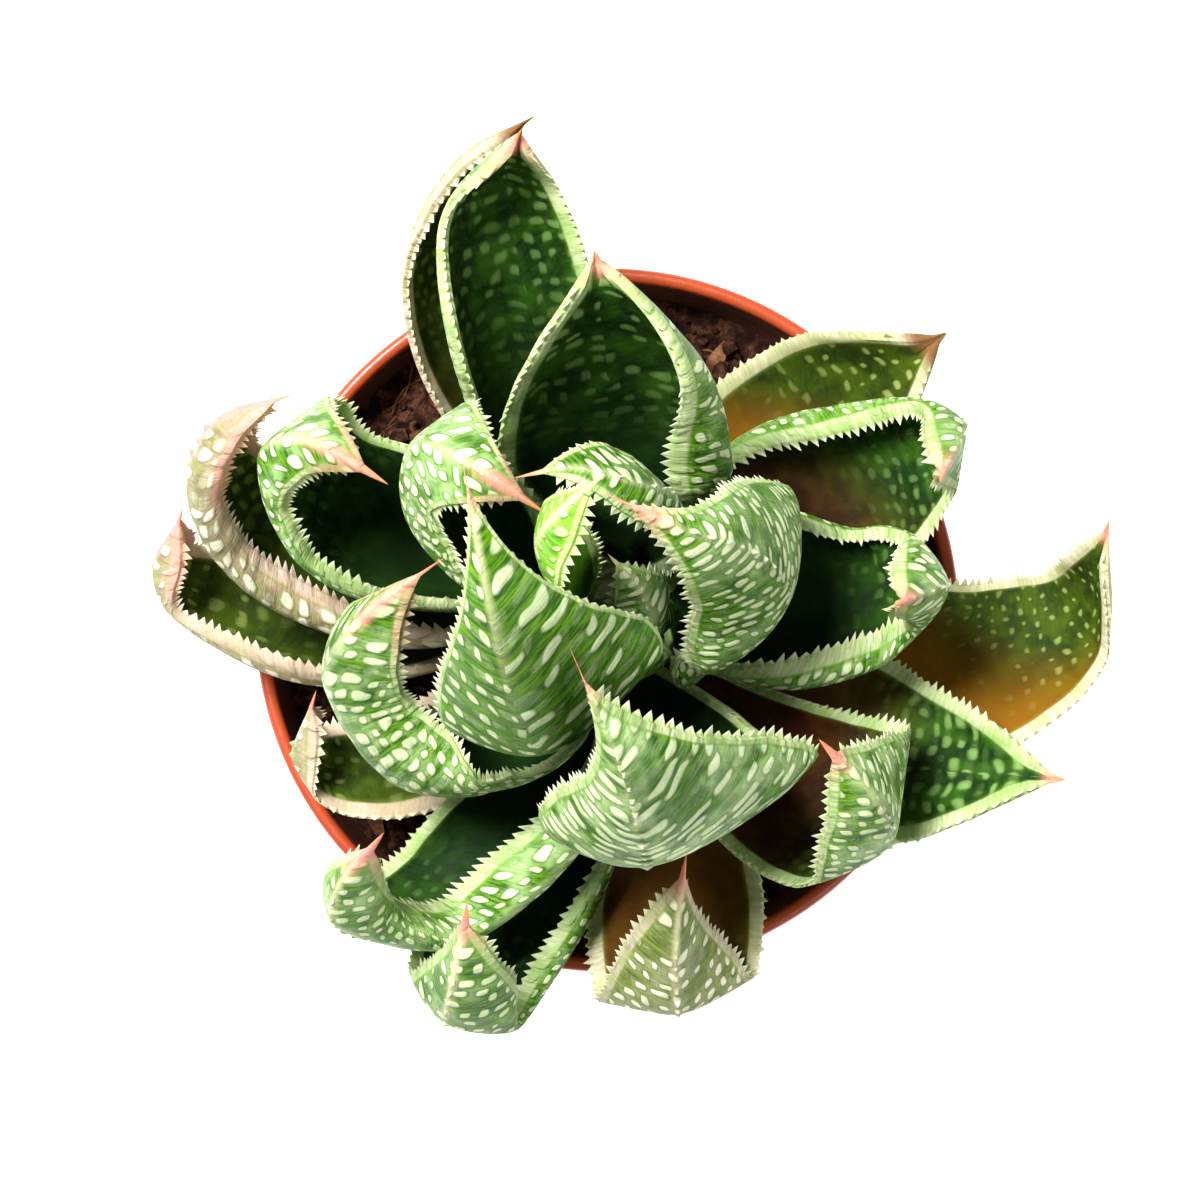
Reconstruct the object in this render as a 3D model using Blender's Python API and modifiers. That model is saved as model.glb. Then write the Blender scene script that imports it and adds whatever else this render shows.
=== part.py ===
# Potted gasteraloe: a rosette of thick, keeled leaves with toothed margins, on a short stem in a nursery pot.
# Metres, +Z up, with the origin at the middle of the pot's foot. The sizes below are millimetres and degrees.

import bpy
import bmesh
import numpy as np
from math import radians
from mathutils import noise, Vector

MM = 0.001
NAME = "potted_gasteraloe"
GAP = 0.3                   # left between pieces that touch

# The pot, a thin plastic nursery pot with a collar under its rim
POT_HEIGHT = 92.0
RIM_RADIUS = 60.0
RIM_WIDTH = 2.4
COLLAR_HEIGHT = 11.0
COLLAR_STEP = 1.6           # how far the wall below the collar is set in
FOOT_RADIUS = 42.5
WALL = 1.4
FLOOR = 2.4
POT_STEPS = 56
HOLE_RADIUS = 4.0
HOLE_RING = 29.0            # radius of the ring of drain holes
HOLE_COUNT = 6

# The soil
SOIL_HEIGHT = 80.0
SOIL_LUMP = 1.5
SOIL_LUMP_RATE = 70         # lumps a metre
SOIL_RINGS = 5
SOIL_SPREAD = 0.8           # share of the radius that the rings take

# The stem, a little off the pot's axis
STEM_XY = (2.0, 3.0)
STEM_RADIUS = 9.0
STEM_TOP_RADIUS = 4.0
STEM_LENGTH = 48.0          # above the soil
STEM_DEPTH = 12.0           # in the soil
STEM_STEPS = 24

# The run of every leaf
CURVE_STEPS = 24            # steps of the curve between two keel points
SPINE_STEPS = 64            # even steps along the whole keel
PATH_PASSES = 3             # smoothing of the keel
FRAME_PASSES = 70           # smoothing of the direction that the cross sections stand square to
ROOT_SHARE = 0.35           # share of the length in which a leaf turns from the stem to what it faces
ROOT_LIFT = 25.0            # at its root a leaf looks at a point of the stem's axis this much higher
SEATING_ROUNDS = 5

# The cross section of every leaf
BACK_COLUMNS = (-1, -0.74, -0.4, -0.06, 0.06, 0.4, 0.74, 1)
FACE_COLUMNS = (1, 0.6, 0, -0.6, -1)
FOLD_POWER = 1.8            # how late the slope grows from the keel to the margin
FOLD_STEPS = 16
EDGE = 1.6                  # thickness at the margins
EDGE_POWER = 1.5
ROOT_THICKNESS = 0.55       # share of the thickness at the very root
FULL_THICKNESS_AT = 0.25    # share of the length
TIP_THINNING = 0.55
MOST_THICKNESS = 0.42       # as a share of a half's width

# The teeth and the spine at the tip
TOOTH_HEIGHT = 1.5
TOOTH_BASE = 1.7
FIRST_TOOTH = 0.14          # shares of the length
LAST_TOOTH = 0.935
KEEL_TEETH_FROM = 0.55
NECK = 0.965
SPINE_TIP = 3.5

LEAF = {
    "keel": [],             # points of the keel from root to tip: x, y and height above the rim
    "root": (0, 10),        # heading round the stem, and height above the soil
    "width": 46,            # across both halves, along the skin
    "halves": (1, 1),       # width of the left and right half as shares of half the width
    "faces": (2, 3, 40),    # the point that the inner face looks at, its height above the rim
    "roll": (0, 0),         # turn about the keel at root and tip
    "fold": (30, 85, 45, 60),   # slope of a half at keel and margin, at the root and then at the tip
    "curl": (0, 0),         # more slope at the margin of the left and right half, halfway along the leaf
    "root_width": (0.2, 0.2),   # share of the full width of the left and right half at the root
    "widest": 0.45,         # share of the length where the leaf is widest
    "blunt": 1.75,          # a higher value makes a blunter tip
    "taper": 1.0,           # above 1 the margins draw in before the tip
    "thick": 5.5,
    "teeth": 9,             # on each margin
}

LEAVES = {
    "leaf_heart_west": dict(
        root=(-178, 46), width=28, halves=(0.6, 0.6), faces=(2, 3, 50), roll=(10, 0),
        fold=(20, 50, 30, 40), root_width=(0.12, 0.12), widest=0.62, thick=3.5, teeth=6,
        keel=[(-8, 7, 64), (-11, 11, 80), (-6, 16, 90), (-2, 19, 93)]),
    "leaf_heart_east": dict(
        root=(-18, 44), width=24, halves=(0.7, 0.9), fold=(30, 70, 30, 60), root_width=(0.2, 0.2),
        widest=0.55, thick=3.5, teeth=5,
        keel=[(8, -2, 53), (6, 3, 63), (3, 7, 67), (1, 9, 65)]),
    "leaf_heart_north": dict(
        root=(66, 36), width=34, halves=(1, 0.5), faces=(2, 8, 40),
        fold=(25, 70, 30, 45), blunt=1.9, thick=4.5, teeth=7,
        keel=[(8, 15, 46), (11, 19, 60), (5, 20, 72), (-5, 22, 77), (-10, 21, 77)]),
    "leaf_inner_front": dict(
        root=(-95, 40), width=46, halves=(1.45, 0.8), faces=(-8, 6, 40), roll=(-5, -5),
        fold=(25, 60, 45, 60), blunt=1.6, taper=1.6,
        keel=[(-5, -14, 43), (-9, -21, 58), (-13, -12, 78), (-16, 3, 92), (-19, 20, 95)]),
    "leaf_inner_west": dict(
        root=(160, 36), width=48, halves=(1, 0.97), faces=(-6, 6, 30), roll=(5, 0),
        fold=(35, 85, 45, 60), blunt=1.7,
        keel=[(-20, 8, 36), (-32, 17, 54), (-28, 26, 72), (-17, 21, 81), (-11, 17, 78)]),
    "leaf_inner_east": dict(
        root=(8, 34), width=48, halves=(1.1, 1.22), faces=(6, 10, 20), roll=(-20, 4),
        fold=(10, 110, 45, 60), root_width=(0.05, 0.03), widest=0.38, blunt=1.5, taper=1.25,
        keel=[(19, 1, 31), (29, 2, 46), (22, 10, 68), (11, 13, 78), (2, 17, 78)]),
    "leaf_inner_south": dict(
        root=(-82, 30), width=52, halves=(1.64, 0.9), faces=(6, -2, 10), roll=(-12, 8),
        fold=(12, 105, 45, 60), root_width=(0.0, 0.07), widest=0.53, blunt=1.5, taper=1.7,
        keel=[(7, -25, 28), (6, -38, 43), (5, -35, 61), (2, -21, 81), (-4, -6, 88)]),
    "leaf_inner_southwest": dict(
        root=(-143, 30), width=52, halves=(1.1, 1), faces=(-10, 0, 20), roll=(10, 5),
        fold=(25, 110, 45, 65), root_width=(0.15, 0.15), blunt=1.9, taper=1.3,
        keel=[(-16, -24, 18), (-33, -28, 29), (-44, -10, 46), (-35, 2, 61), (-26, 8, 64)]),
    "leaf_middle_west": dict(
        root=(168, 25), width=52, halves=(0.87, 1.2), faces=(2, 3, 30),
        fold=(25, 115, 45, 60), curl=(30, 0),
        keel=[(-31, 11, 18), (-51, 17, 30), (-54, 26, 46), (-44, 27, 58), (-35, 22, 57)]),
    "leaf_middle_north": dict(
        root=(92, 26), width=50, halves=(0.88, 1.75), faces=(2, -10, 90), roll=(-5, -5),
        fold=(15, 60, 30, 50), curl=(0, 125), root_width=(0.15, 0.15), blunt=2.3,
        keel=[(0, 24, 22), (-1, 43, 44), (-2, 53, 66)]),
    "leaf_middle_east": dict(
        root=(-4, 24), width=60, halves=(1, 1.05), faces=(10, 3, 40),
        fold=(15, 95, 45, 70), curl=(40, 70), root_width=(0.12, 0.35), widest=0.36,
        keel=[(25, 3, 15), (46, 3, 22), (54, 6, 36), (44, 3, 52)]),
    "leaf_middle_southeast": dict(
        root=(-47, 17), width=46, halves=(1.25, 0.95), faces=(10, -10, 30),
        fold=(20, 90, 45, 60), root_width=(0.12, 0.12), widest=0.55,
        keel=[(17, -18, 10), (34, -33, 19), (45, -36, 33), (41, -27, 50), (33, -19, 56)]),
    "leaf_middle_southwest": dict(
        root=(-125, 17), width=54, halves=(1.3, 0.72), faces=(-10, -10, 30),
        fold=(15, 105, 45, 65), curl=(90, 0), root_width=(0.4, 0.4), widest=0.4,
        keel=[(-13, -34, 8), (-31, -52, 17), (-43, -49, 32), (-41, -40, 47), (-35, -33, 53)]),
    "leaf_outer_north": dict(
        root=(106, 16), width=44, halves=(1.27, 0.78), faces=(2, -10, 90),
        fold=(20, 75, 40, 65), curl=(45, 0), blunt=4.0,
        keel=[(-5, 30, 8), (-14, 56, 27), (-16, 72, 43), (-13, 73, 54)]),
    "leaf_outer_west": dict(
        root=(164, 15), width=46, halves=(1, 1.2), fold=(20, 100, 45, 60), curl=(90, 0),
        keel=[(-38, 3, 5), (-61, 11, 16), (-67, 22, 32), (-59, 32, 45), (-49, 34, 49)]),
    "leaf_outer_northeast": dict(
        root=(28, 13), width=46, halves=(1, 1.3), faces=(10, 3, 40),
        fold=(15, 90, 45, 60), curl=(70, 0),
        keel=[(28, 25, 3), (48, 32, 16), (57, 32, 31), (51, 22, 44)]),
    "leaf_outer_southeast": dict(
        root=(-30, 11), width=42, halves=(1, 0.9), faces=(2, 3, 80),
        fold=(10, 45, 30, 55), blunt=2.5,
        keel=[(26, -14, 2), (52, -25, 13), (71, -25, 30)]),
    "leaf_outer_southwest": dict(
        root=(-114, 10), width=41, halves=(1.45, 0.8), faces=(0, -20, 30),
        fold=(15, 70, 35, 45), curl=(90, 0),
        keel=[(-9, -29, -4), (-22, -56, 4), (-27, -67, 15), (-24, -54, 37), (-22, -45, 43)]),
    "leaf_lowest_north": dict(
        root=(122, 6), width=40, faces=(2, 3, 60), fold=(15, 90, 45, 80), curl=(10, 30),
        keel=[(-17, 38, -6), (-28, 63, 12), (-23, 74, 30), (-12, 78, 38)]),
    "leaf_lowest_northeast": dict(
        root=(38, 6), width=42, halves=(0.85, 0.7), faces=(2, 3, 80),
        fold=(10, 45, 30, 55), widest=0.5, blunt=3.2,
        keel=[(20, 22, -7), (40, 37, 3), (54, 46, 22)]),
    "leaf_lowest_east": dict(
        root=(-6, 4), width=44, halves=(1, 0.85), faces=(2, 3, 60),
        fold=(5, 30, 30, 50), blunt=2.2,
        keel=[(30, -4, -8), (63, -9, 3), (81, 0, 12), (80, 15, 26)]),
    "leaf_lowest_south": dict(
        root=(-76, 4), width=40, halves=(1, 0.88), faces=(5, -20, 20),
        fold=(5, 45, 45, 60), root_width=(0.15, 0.15), widest=0.55,
        keel=[(10, -28, -8), (12, -53, -1), (12, -67, 9), (11, -52, 28), (12, -39, 34)]),
    "leaf_lowest_southwest": dict(
        root=(-142, 4), width=36, halves=(0.8, 0.68),
        fold=(10, 50, 45, 60), root_width=(0.15, 0.15), widest=0.6, teeth=8,
        keel=[(-20, -16, -7), (-40, -26, 0), (-53, -24, 7), (-48, -13, 20)]),
    "leaf_lowest_west": dict(
        root=(174, 4), width=40, halves=(1.05, 0.92),
        fold=(10, 60, 45, 60), curl=(70, 0), root_width=(0.15, 0.15), widest=0.55,
        keel=[(-31, 0, -7), (-57, -2, 3), (-75, 7, 14), (-68, 17, 28)]),
}

COLOURS = {                 # base colour and roughness
    "pot": ((0.62, 0.13, 0.05), 0.35),
    "soil": ((0.05, 0.03, 0.02), 0.95),
    "stem": ((0.30, 0.34, 0.14), 0.7),
    "heart": ((0.22, 0.42, 0.07), 0.45),
    "leaf": ((0.13, 0.30, 0.08), 0.45),
    "old_leaf": ((0.20, 0.27, 0.09), 0.5),
}
LEAF_COLOURS = {"heart": "heart", "inner": "leaf", "middle": "leaf", "outer": "leaf", "lowest": "old_leaf"}


# Set-up

def start_scene():
    for obj in list(bpy.data.objects):
        bpy.data.objects.remove(obj, do_unlink=True)
    parts = bpy.data.collections.new(NAME)
    tools = bpy.data.collections.new("cutters")
    for collection in (parts, tools):
        bpy.context.scene.collection.children.link(collection)
    return parts, tools


def make_material(name):
    colour, roughness = COLOURS[name]
    material = bpy.data.materials.new(name)
    material.use_nodes = True
    shader = material.node_tree.nodes["Principled BSDF"]
    shader.inputs["Base Color"].default_value = (*colour, 1)
    shader.inputs["Roughness"].default_value = roughness
    return material


def add_object(name, bm, collection, material=None):
    mesh = bpy.data.meshes.new(name)
    bm.to_mesh(mesh)
    bm.free()
    obj = bpy.data.objects.new(name, mesh)
    collection.objects.link(obj)
    if material:
        mesh.materials.append(material)
    return obj


def smooth_shade(obj, angle):
    obj.data.shade_smooth()
    obj.data.set_sharp_from_angle(angle=radians(angle))


def turned(name, profile, steps, collection, material):
    """A closed profile of (radius, height) points, turned about Z."""
    bm = bmesh.new()
    points = [bm.verts.new((radius * MM, 0, height * MM)) for radius, height in profile]
    for first, second in zip(points, points[1:]):
        bm.edges.new((first, second))
    obj = add_object(name, bm, collection, material)
    screw = obj.modifiers.new("turn", "SCREW")
    screw.steps = steps
    screw.render_steps = steps
    screw.use_merge_vertices = True
    screw.merge_threshold = 0.00001
    return obj


def add_cylinder(bm, segments, radius, depth, place):
    made = bmesh.ops.create_cone(bm, cap_ends=True, segments=segments, radius1=radius * MM, radius2=radius * MM,
                                 depth=depth * MM)
    bmesh.ops.translate(bm, verts=made["verts"], vec=Vector(place) * MM)


def cut(obj, cutter):
    cutter.hide_render = True
    cutter.display_type = "WIRE"
    boolean = obj.modifiers.new("cut", "BOOLEAN")
    boolean.operation = "DIFFERENCE"
    boolean.object = cutter


# Pot, soil and stem

def wall_radius(height):
    """Outer radius of the pot's wall below the collar."""
    top = RIM_RADIUS - COLLAR_STEP
    return FOOT_RADIUS + (top - FOOT_RADIUS) * height / (POT_HEIGHT - COLLAR_HEIGHT)


def make_pot(parts, tools):
    shoulder = POT_HEIGHT - COLLAR_HEIGHT
    rim_round = RIM_WIDTH / 3
    inside = RIM_RADIUS - RIM_WIDTH
    profile = [
        (0, FLOOR),
        (wall_radius(FLOOR) - WALL, FLOOR),
        (wall_radius(shoulder) - WALL, shoulder),
        (inside, shoulder + COLLAR_STEP),
        (inside, POT_HEIGHT - rim_round),
        (inside + rim_round, POT_HEIGHT),
        (RIM_RADIUS - rim_round, POT_HEIGHT),
        (RIM_RADIUS, POT_HEIGHT - rim_round),
        (RIM_RADIUS - COLLAR_STEP / 4, shoulder),
        (wall_radius(shoulder), shoulder),
        (FOOT_RADIUS + COLLAR_STEP / 2, COLLAR_STEP),
        (FOOT_RADIUS - COLLAR_STEP / 2, 0),
        (0, 0),
    ]
    pot = turned("pot", profile, POT_STEPS, parts, make_material("pot"))
    holes = bmesh.new()
    for angle in np.linspace(0, 2 * np.pi, HOLE_COUNT, endpoint=False):
        middle = (HOLE_RING * np.cos(angle), HOLE_RING * np.sin(angle), 0)
        add_cylinder(holes, 12, HOLE_RADIUS, 3 * FLOOR, middle)
    cut(pot, add_object("drain_holes", holes, tools))
    smooth_shade(pot, 40)


def make_soil(parts, tools):
    bottom = FLOOR + GAP
    depth = SOIL_HEIGHT - bottom
    top_radius = wall_radius(SOIL_HEIGHT) - WALL - GAP
    foot_radius = wall_radius(bottom) - WALL - GAP
    bm = bmesh.new()
    bmesh.ops.create_cone(bm, cap_ends=True, segments=POT_STEPS, radius1=foot_radius * MM,
                          radius2=top_radius * MM, depth=depth * MM)
    bmesh.ops.translate(bm, verts=bm.verts, vec=(0, 0, (bottom + depth / 2) * MM))
    top = max(bm.faces, key=lambda face: face.calc_center_median().z)
    for _ in range(SOIL_RINGS):
        bmesh.ops.inset_region(bm, faces=[top], thickness=SOIL_SPREAD * top_radius / SOIL_RINGS * MM)
    bmesh.ops.poke(bm, faces=[top])
    for vert in bm.verts:
        if vert.co.z > depth / 2 * MM and vert.co.xy.length < (top_radius - GAP) * MM:
            vert.co.z += noise.noise(vert.co * SOIL_LUMP_RATE) * SOIL_LUMP * MM
    bmesh.ops.triangulate(bm, faces=bm.faces)
    soil = add_object("soil", bm, parts, make_material("soil"))
    hole = bmesh.new()
    hole_bottom = SOIL_HEIGHT - STEM_DEPTH - GAP
    hole_depth = STEM_DEPTH + 4 * SOIL_LUMP
    add_cylinder(hole, STEM_STEPS, STEM_RADIUS + GAP, hole_depth, (*STEM_XY, hole_bottom + hole_depth / 2))
    cut(soil, add_object("stem_hole", hole, tools))


def stem_radius(height):
    """Radius of the stem at a height above the soil."""
    share = np.clip(height / STEM_LENGTH, 0, 1)
    return STEM_RADIUS + (STEM_TOP_RADIUS - STEM_RADIUS) * share


def make_stem(parts):
    top = SOIL_HEIGHT + STEM_LENGTH
    foot = SOIL_HEIGHT - STEM_DEPTH
    dome = STEM_TOP_RADIUS / 2
    profile = [
        (0, top),
        (STEM_TOP_RADIUS - dome, top - GAP),
        (STEM_TOP_RADIUS, top - dome),
        (STEM_RADIUS, SOIL_HEIGHT),
        (STEM_RADIUS, foot),
        (0, foot),
    ]
    stem = turned("stem", profile, STEM_STEPS, parts, make_material("stem"))
    stem.location = (STEM_XY[0] * MM, STEM_XY[1] * MM, 0)
    smooth_shade(stem, 40)


# Leaves

def between(low_value, high_value, low, high, at):
    return low_value + (high_value - low_value) * (at - low) / (high - low)


def curve_through(points):
    """Evenly spaced points on the centripetal Catmull-Rom curve through the given ones, and its length."""
    points = np.array(points, float)
    points = np.vstack([2 * points[0] - points[1], points, 2 * points[-1] - points[-2]])
    spans = np.sqrt(np.linalg.norm(np.diff(points, axis=0), axis=1))
    knots = np.concatenate([[0], np.cumsum(spans)])
    fine = []
    for i in range(1, len(points) - 2):
        p = points[i - 1:i + 3]
        t = knots[i - 1:i + 3]
        for at in np.linspace(t[1], t[2], CURVE_STEPS, endpoint=False):
            a = [between(p[k], p[k + 1], t[k], t[k + 1], at) for k in range(3)]
            b = [between(a[k], a[k + 1], t[k], t[k + 2], at) for k in range(2)]
            fine.append(between(b[0], b[1], t[1], t[2], at))
    fine = np.array(fine + [points[-2]])
    run = np.concatenate([[0], np.cumsum(np.linalg.norm(np.diff(fine, axis=0), axis=1))])
    even = np.linspace(0, run[-1], SPINE_STEPS + 1)
    return np.stack([np.interp(even, run, fine[:, axis]) for axis in range(3)], -1), run[-1]


def smoothed(rows, passes):
    for _ in range(passes):
        first = (2 * rows[0] + rows[1]) / 3
        last = (2 * rows[-1] + rows[-2]) / 3
        rows = np.vstack([first, (rows[:-2] + 2 * rows[1:-1] + rows[2:]) / 4, last])
    return rows


def unit(rows):
    return rows / np.linalg.norm(rows, axis=-1)[..., None]


class Blade:
    """The skin of one leaf as a formula: a place for each share of the length and of the width."""

    def __init__(self, leaf, out):
        self.leaf = leaf
        turn = radians(leaf["root"][0])
        root = (STEM_XY[0] + out * np.cos(turn), STEM_XY[1] + out * np.sin(turn), SOIL_HEIGHT + leaf["root"][1])
        keel = [root] + [(x, y, POT_HEIGHT + z) for x, y, z in leaf["keel"]]
        path, self.length = curve_through(keel)
        ends = path[[0, -1]]
        path = smoothed(path, PATH_PASSES)
        path[[0, -1]] = ends
        # the cross sections stand square to a smoother line than the keel, so they don't cut through each other
        along = unit(smoothed(unit(np.gradient(path, axis=0)), FRAME_PASSES))
        inward = self.facing(path, along)
        side = np.cross(inward, along)
        roll = np.radians(np.linspace(*leaf["roll"], SPINE_STEPS + 1))[:, None]
        self.path = path
        self.inward = np.cos(roll) * inward + np.sin(roll) * side
        self.side = np.cos(roll) * side - np.sin(roll) * inward
        travel = (np.gradient(path, axis=0) * along).sum(1)
        turning = np.gradient(along, axis=0)
        self.bend_in = (turning * self.inward).sum(1) / travel
        self.bend_side = (turning * self.side).sum(1) / travel

    def facing(self, path, along):
        """The way that the inner face looks: near its root a leaf faces the stem."""
        x, y, z = self.leaf["faces"]
        focus = unit(np.array([x, y, POT_HEIGHT + z]) - path)
        stem = unit(np.array([(*STEM_XY, height + ROOT_LIFT) for height in path[:, 2]]) - path)
        share = np.clip(np.linspace(0, 1, SPINE_STEPS + 1) / ROOT_SHARE, 0, 1)[:, None]
        share = share * share * (3 - 2 * share)
        inward = share * focus + (1 - share) * stem
        return unit(inward - (inward * along).sum(1)[:, None] * along)

    def half_width(self, share, column):
        leaf = self.leaf
        half = 0 if column > 0 else 1
        root = leaf["root_width"][half]
        widest = leaf["widest"]
        if share < widest:
            width = root + (1 - root) * np.sin(np.pi / 2 * share / widest)
        else:
            width = (1 - ((share - widest) / (1 - widest)) ** leaf["blunt"]) ** leaf["taper"]
        return leaf["width"] / 2 * width * leaf["halves"][half]

    def slopes(self, share, column):
        keel, margin, keel_tip, margin_tip = np.radians(self.leaf["fold"])
        curl = radians(self.leaf["curl"][0 if column > 0 else 1]) * 4 * share * (1 - share)
        return keel + (keel_tip - keel) * share, margin + (margin_tip - margin) * share + curl

    def thickness(self, share, column, half):
        root = ROOT_THICKNESS + (1 - ROOT_THICKNESS) * min(share / FULL_THICKNESS_AT, 1)
        thick = min(self.leaf["thick"] * (1 - TIP_THINNING * share) * root, MOST_THICKNESS * half)
        edge = min(EDGE, MOST_THICKNESS * half)
        return thick + (edge - thick) * abs(column) ** EDGE_POWER

    def place(self, share, column, inner):
        """A point of the back, or of the inner face, in millimetres. Columns run from -1 to 1 across."""
        half = self.half_width(share, column)
        keel, margin = self.slopes(share, column)
        at = (np.arange(FOLD_STEPS) + 0.5) / FOLD_STEPS * abs(column)
        slope = keel + (margin - keel) * at ** FOLD_POWER
        across = np.cos(slope).mean() * abs(column) * half
        up = np.sin(slope).mean() * abs(column) * half
        if inner:
            thick = self.thickness(share, column, half)
            tilt = (keel + (margin - keel) * abs(column) ** FOLD_POWER) * min(1.5 * abs(column), 1)
            across -= thick * np.sin(tilt)
            up += thick * np.cos(tilt)
        across *= np.sign(column)
        row = min(share * SPINE_STEPS, SPINE_STEPS - 1e-6)
        low = int(row)
        part = row - low

        def read(rows):
            return rows[low] * (1 - part) + rows[low + 1] * part

        # walls are pressed flatter where the leaf bends tightly
        up /= 1 + max(up * read(self.bend_in), 0)
        across /= 1 + max(across * read(self.bend_side), 0)
        return read(self.path) + across * read(self.side) + up * read(self.inward)

    def tip(self):
        return self.path[-1] + unit(self.path[-1] - self.path[-5]) * SPINE_TIP

    def stem_clearance(self):
        """Least distance between the root of the leaf and the stem."""
        least = []
        for columns, inner in ((BACK_COLUMNS, False), (FACE_COLUMNS, True)):
            grid = np.array([[self.place(share, column, inner) for column in columns]
                             for share in np.linspace(0, ROOT_SHARE, 8)])
            grid = np.concatenate([grid, (grid[:, 1:] + grid[:, :-1]) / 2], axis=1)
            away = np.hypot(grid[..., 0] - STEM_XY[0], grid[..., 1] - STEM_XY[1])
            least.append((away - stem_radius(grid[..., 2] - SOIL_HEIGHT)).min())
        return min(least)


def seated_blade(leaf):
    """The blade with its root moved out from the stem's axis until it stands just off the stem."""
    out = STEM_RADIUS
    for _ in range(SEATING_ROUNDS):
        blade = Blade(leaf, out)
        out += GAP + 0.1 - blade.stem_clearance()
    return blade


def length_rows(leaf, length):
    """Shares of the length: the root, the two ends of each tooth's base, the neck and the tip."""
    rows = [0]
    for middle in np.linspace(FIRST_TOOTH, LAST_TOOTH, leaf["teeth"]):
        rows += [middle - TOOTH_BASE / length / 2, middle + TOOTH_BASE / length / 2]
    return rows + [NECK, 1]


def make_leaf(name, values, parts, material):
    leaf = {**LEAF, **values}
    blade = seated_blade(leaf)
    rows = length_rows(leaf, blade.length)
    back = [(column, False) for column in BACK_COLUMNS]
    face = [(column, True) for column in FACE_COLUMNS]
    columns = back + face + back[:1]
    across = len(columns) - 1
    along = len(rows) - 1
    bm = bmesh.new()
    bmesh.ops.create_grid(bm, x_segments=across, y_segments=along, size=0.5)

    # every second row of faces has a tooth on each margin, and toward the tip also on the keel
    keel = len(BACK_COLUMNS) // 2 - 1
    margins = (len(BACK_COLUMNS) - 1, across - 1)
    tooth = bm.faces.layers.int.new("tooth")
    for quad in bm.faces:
        middle = quad.calc_center_median()
        column = int((middle.x + 0.5) * across)
        row = int((middle.y + 0.5) * along)
        if row % 2 == 1 and row < along - 2:
            quad[tooth] = column in margins or (column == keel and row > along * KEEL_TEETH_FROM)

    # the grid is wrapped round the leaf, back first, and its last row meets in the tip
    for vert in bm.verts:
        column = columns[round((vert.co.x + 0.5) * across)]
        row = round((vert.co.y + 0.5) * along)
        place = blade.tip() if row == along else blade.place(rows[row], *column)
        vert.co = place * MM
    bmesh.ops.remove_doubles(bm, verts=bm.verts, dist=0.00001)
    bmesh.ops.holes_fill(bm, edges=[edge for edge in bm.edges if edge.is_boundary])
    bmesh.ops.recalc_face_normals(bm, faces=bm.faces)
    bmesh.ops.poke(bm, faces=[quad for quad in bm.faces if quad[tooth]], offset=TOOTH_HEIGHT * MM)
    bmesh.ops.triangulate(bm, faces=bm.faces, quad_method="FIXED", ngon_method="EAR_CLIP")
    smooth_shade(add_object(name, bm, parts, material), 50)


def make_leaves(parts):
    materials = {colour: make_material(colour) for colour in sorted(set(LEAF_COLOURS.values()))}
    for name, values in LEAVES.items():
        ring = name.split("_")[1]
        make_leaf(name, values, parts, materials[LEAF_COLOURS[ring]])


def main():
    parts, tools = start_scene()
    make_pot(parts, tools)
    make_soil(parts, tools)
    make_stem(parts)
    make_leaves(parts)


main()
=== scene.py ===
# Potted gasteraloe: a rosette of thick, toothed and flecked leaves in a glossy clay-coloured pot.
# Metres, +Z up. Sizes in the dictionaries are millimetres and degrees unless a note says otherwise.
import bpy
import numpy as np
from math import atan, cos, pi, radians, sin
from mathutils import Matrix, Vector, noise


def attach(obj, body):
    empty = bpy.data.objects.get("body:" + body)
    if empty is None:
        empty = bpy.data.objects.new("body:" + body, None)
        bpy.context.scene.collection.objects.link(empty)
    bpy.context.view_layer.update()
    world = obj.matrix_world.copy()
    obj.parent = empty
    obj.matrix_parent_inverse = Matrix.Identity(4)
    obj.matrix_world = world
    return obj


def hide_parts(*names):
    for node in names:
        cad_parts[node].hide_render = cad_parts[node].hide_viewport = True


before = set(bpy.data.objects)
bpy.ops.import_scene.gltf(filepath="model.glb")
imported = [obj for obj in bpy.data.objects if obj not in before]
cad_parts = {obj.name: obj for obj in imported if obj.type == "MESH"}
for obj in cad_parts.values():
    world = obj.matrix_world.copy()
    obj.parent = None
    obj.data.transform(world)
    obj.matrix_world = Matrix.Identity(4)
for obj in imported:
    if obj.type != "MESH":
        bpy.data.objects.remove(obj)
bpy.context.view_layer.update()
mm = 0.001
print("frame loaded:", len(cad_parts), "nodes")


# General helpers

def objectMode():
    bpy.ops.object.mode_set(mode="OBJECT")


def editAll():
    bpy.ops.object.mode_set(mode="EDIT")
    bpy.ops.mesh.select_all(action="SELECT")


def turnOutwards():
    # all faces are turned to point outwards, and edit mode is left
    bpy.ops.mesh.select_all(action="SELECT")
    bpy.ops.mesh.normals_make_consistent(inside=False)
    objectMode()


def deselectAll():
    if bpy.context.object and bpy.context.object.mode != "OBJECT":
        objectMode()
    bpy.ops.object.select_all(action="DESELECT")


def activate(piece):
    deselectAll()
    piece.select_set(True)
    bpy.context.view_layer.objects.active = piece


def applyModifiers(piece):
    activate(piece)
    for modifier in list(piece.modifiers):
        bpy.ops.object.modifier_apply(modifier=modifier.name)


def readCoords(mesh):
    coords = np.zeros(len(mesh.vertices) * 3, np.float32)
    mesh.vertices.foreach_get("co", coords)
    return coords.reshape(-1, 3).astype(float)


def writeCoords(mesh, coords):
    mesh.vertices.foreach_set("co", np.asarray(coords, np.float32).ravel())
    mesh.update()


def addValues(mesh, name, values, kind="FLOAT", key="value"):
    attribute = mesh.attributes.new(name, kind, "POINT")
    attribute.data.foreach_set(key, np.asarray(values, np.float32).ravel())


def partWay(start, end, share):
    return start + (end - start) * share


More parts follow.
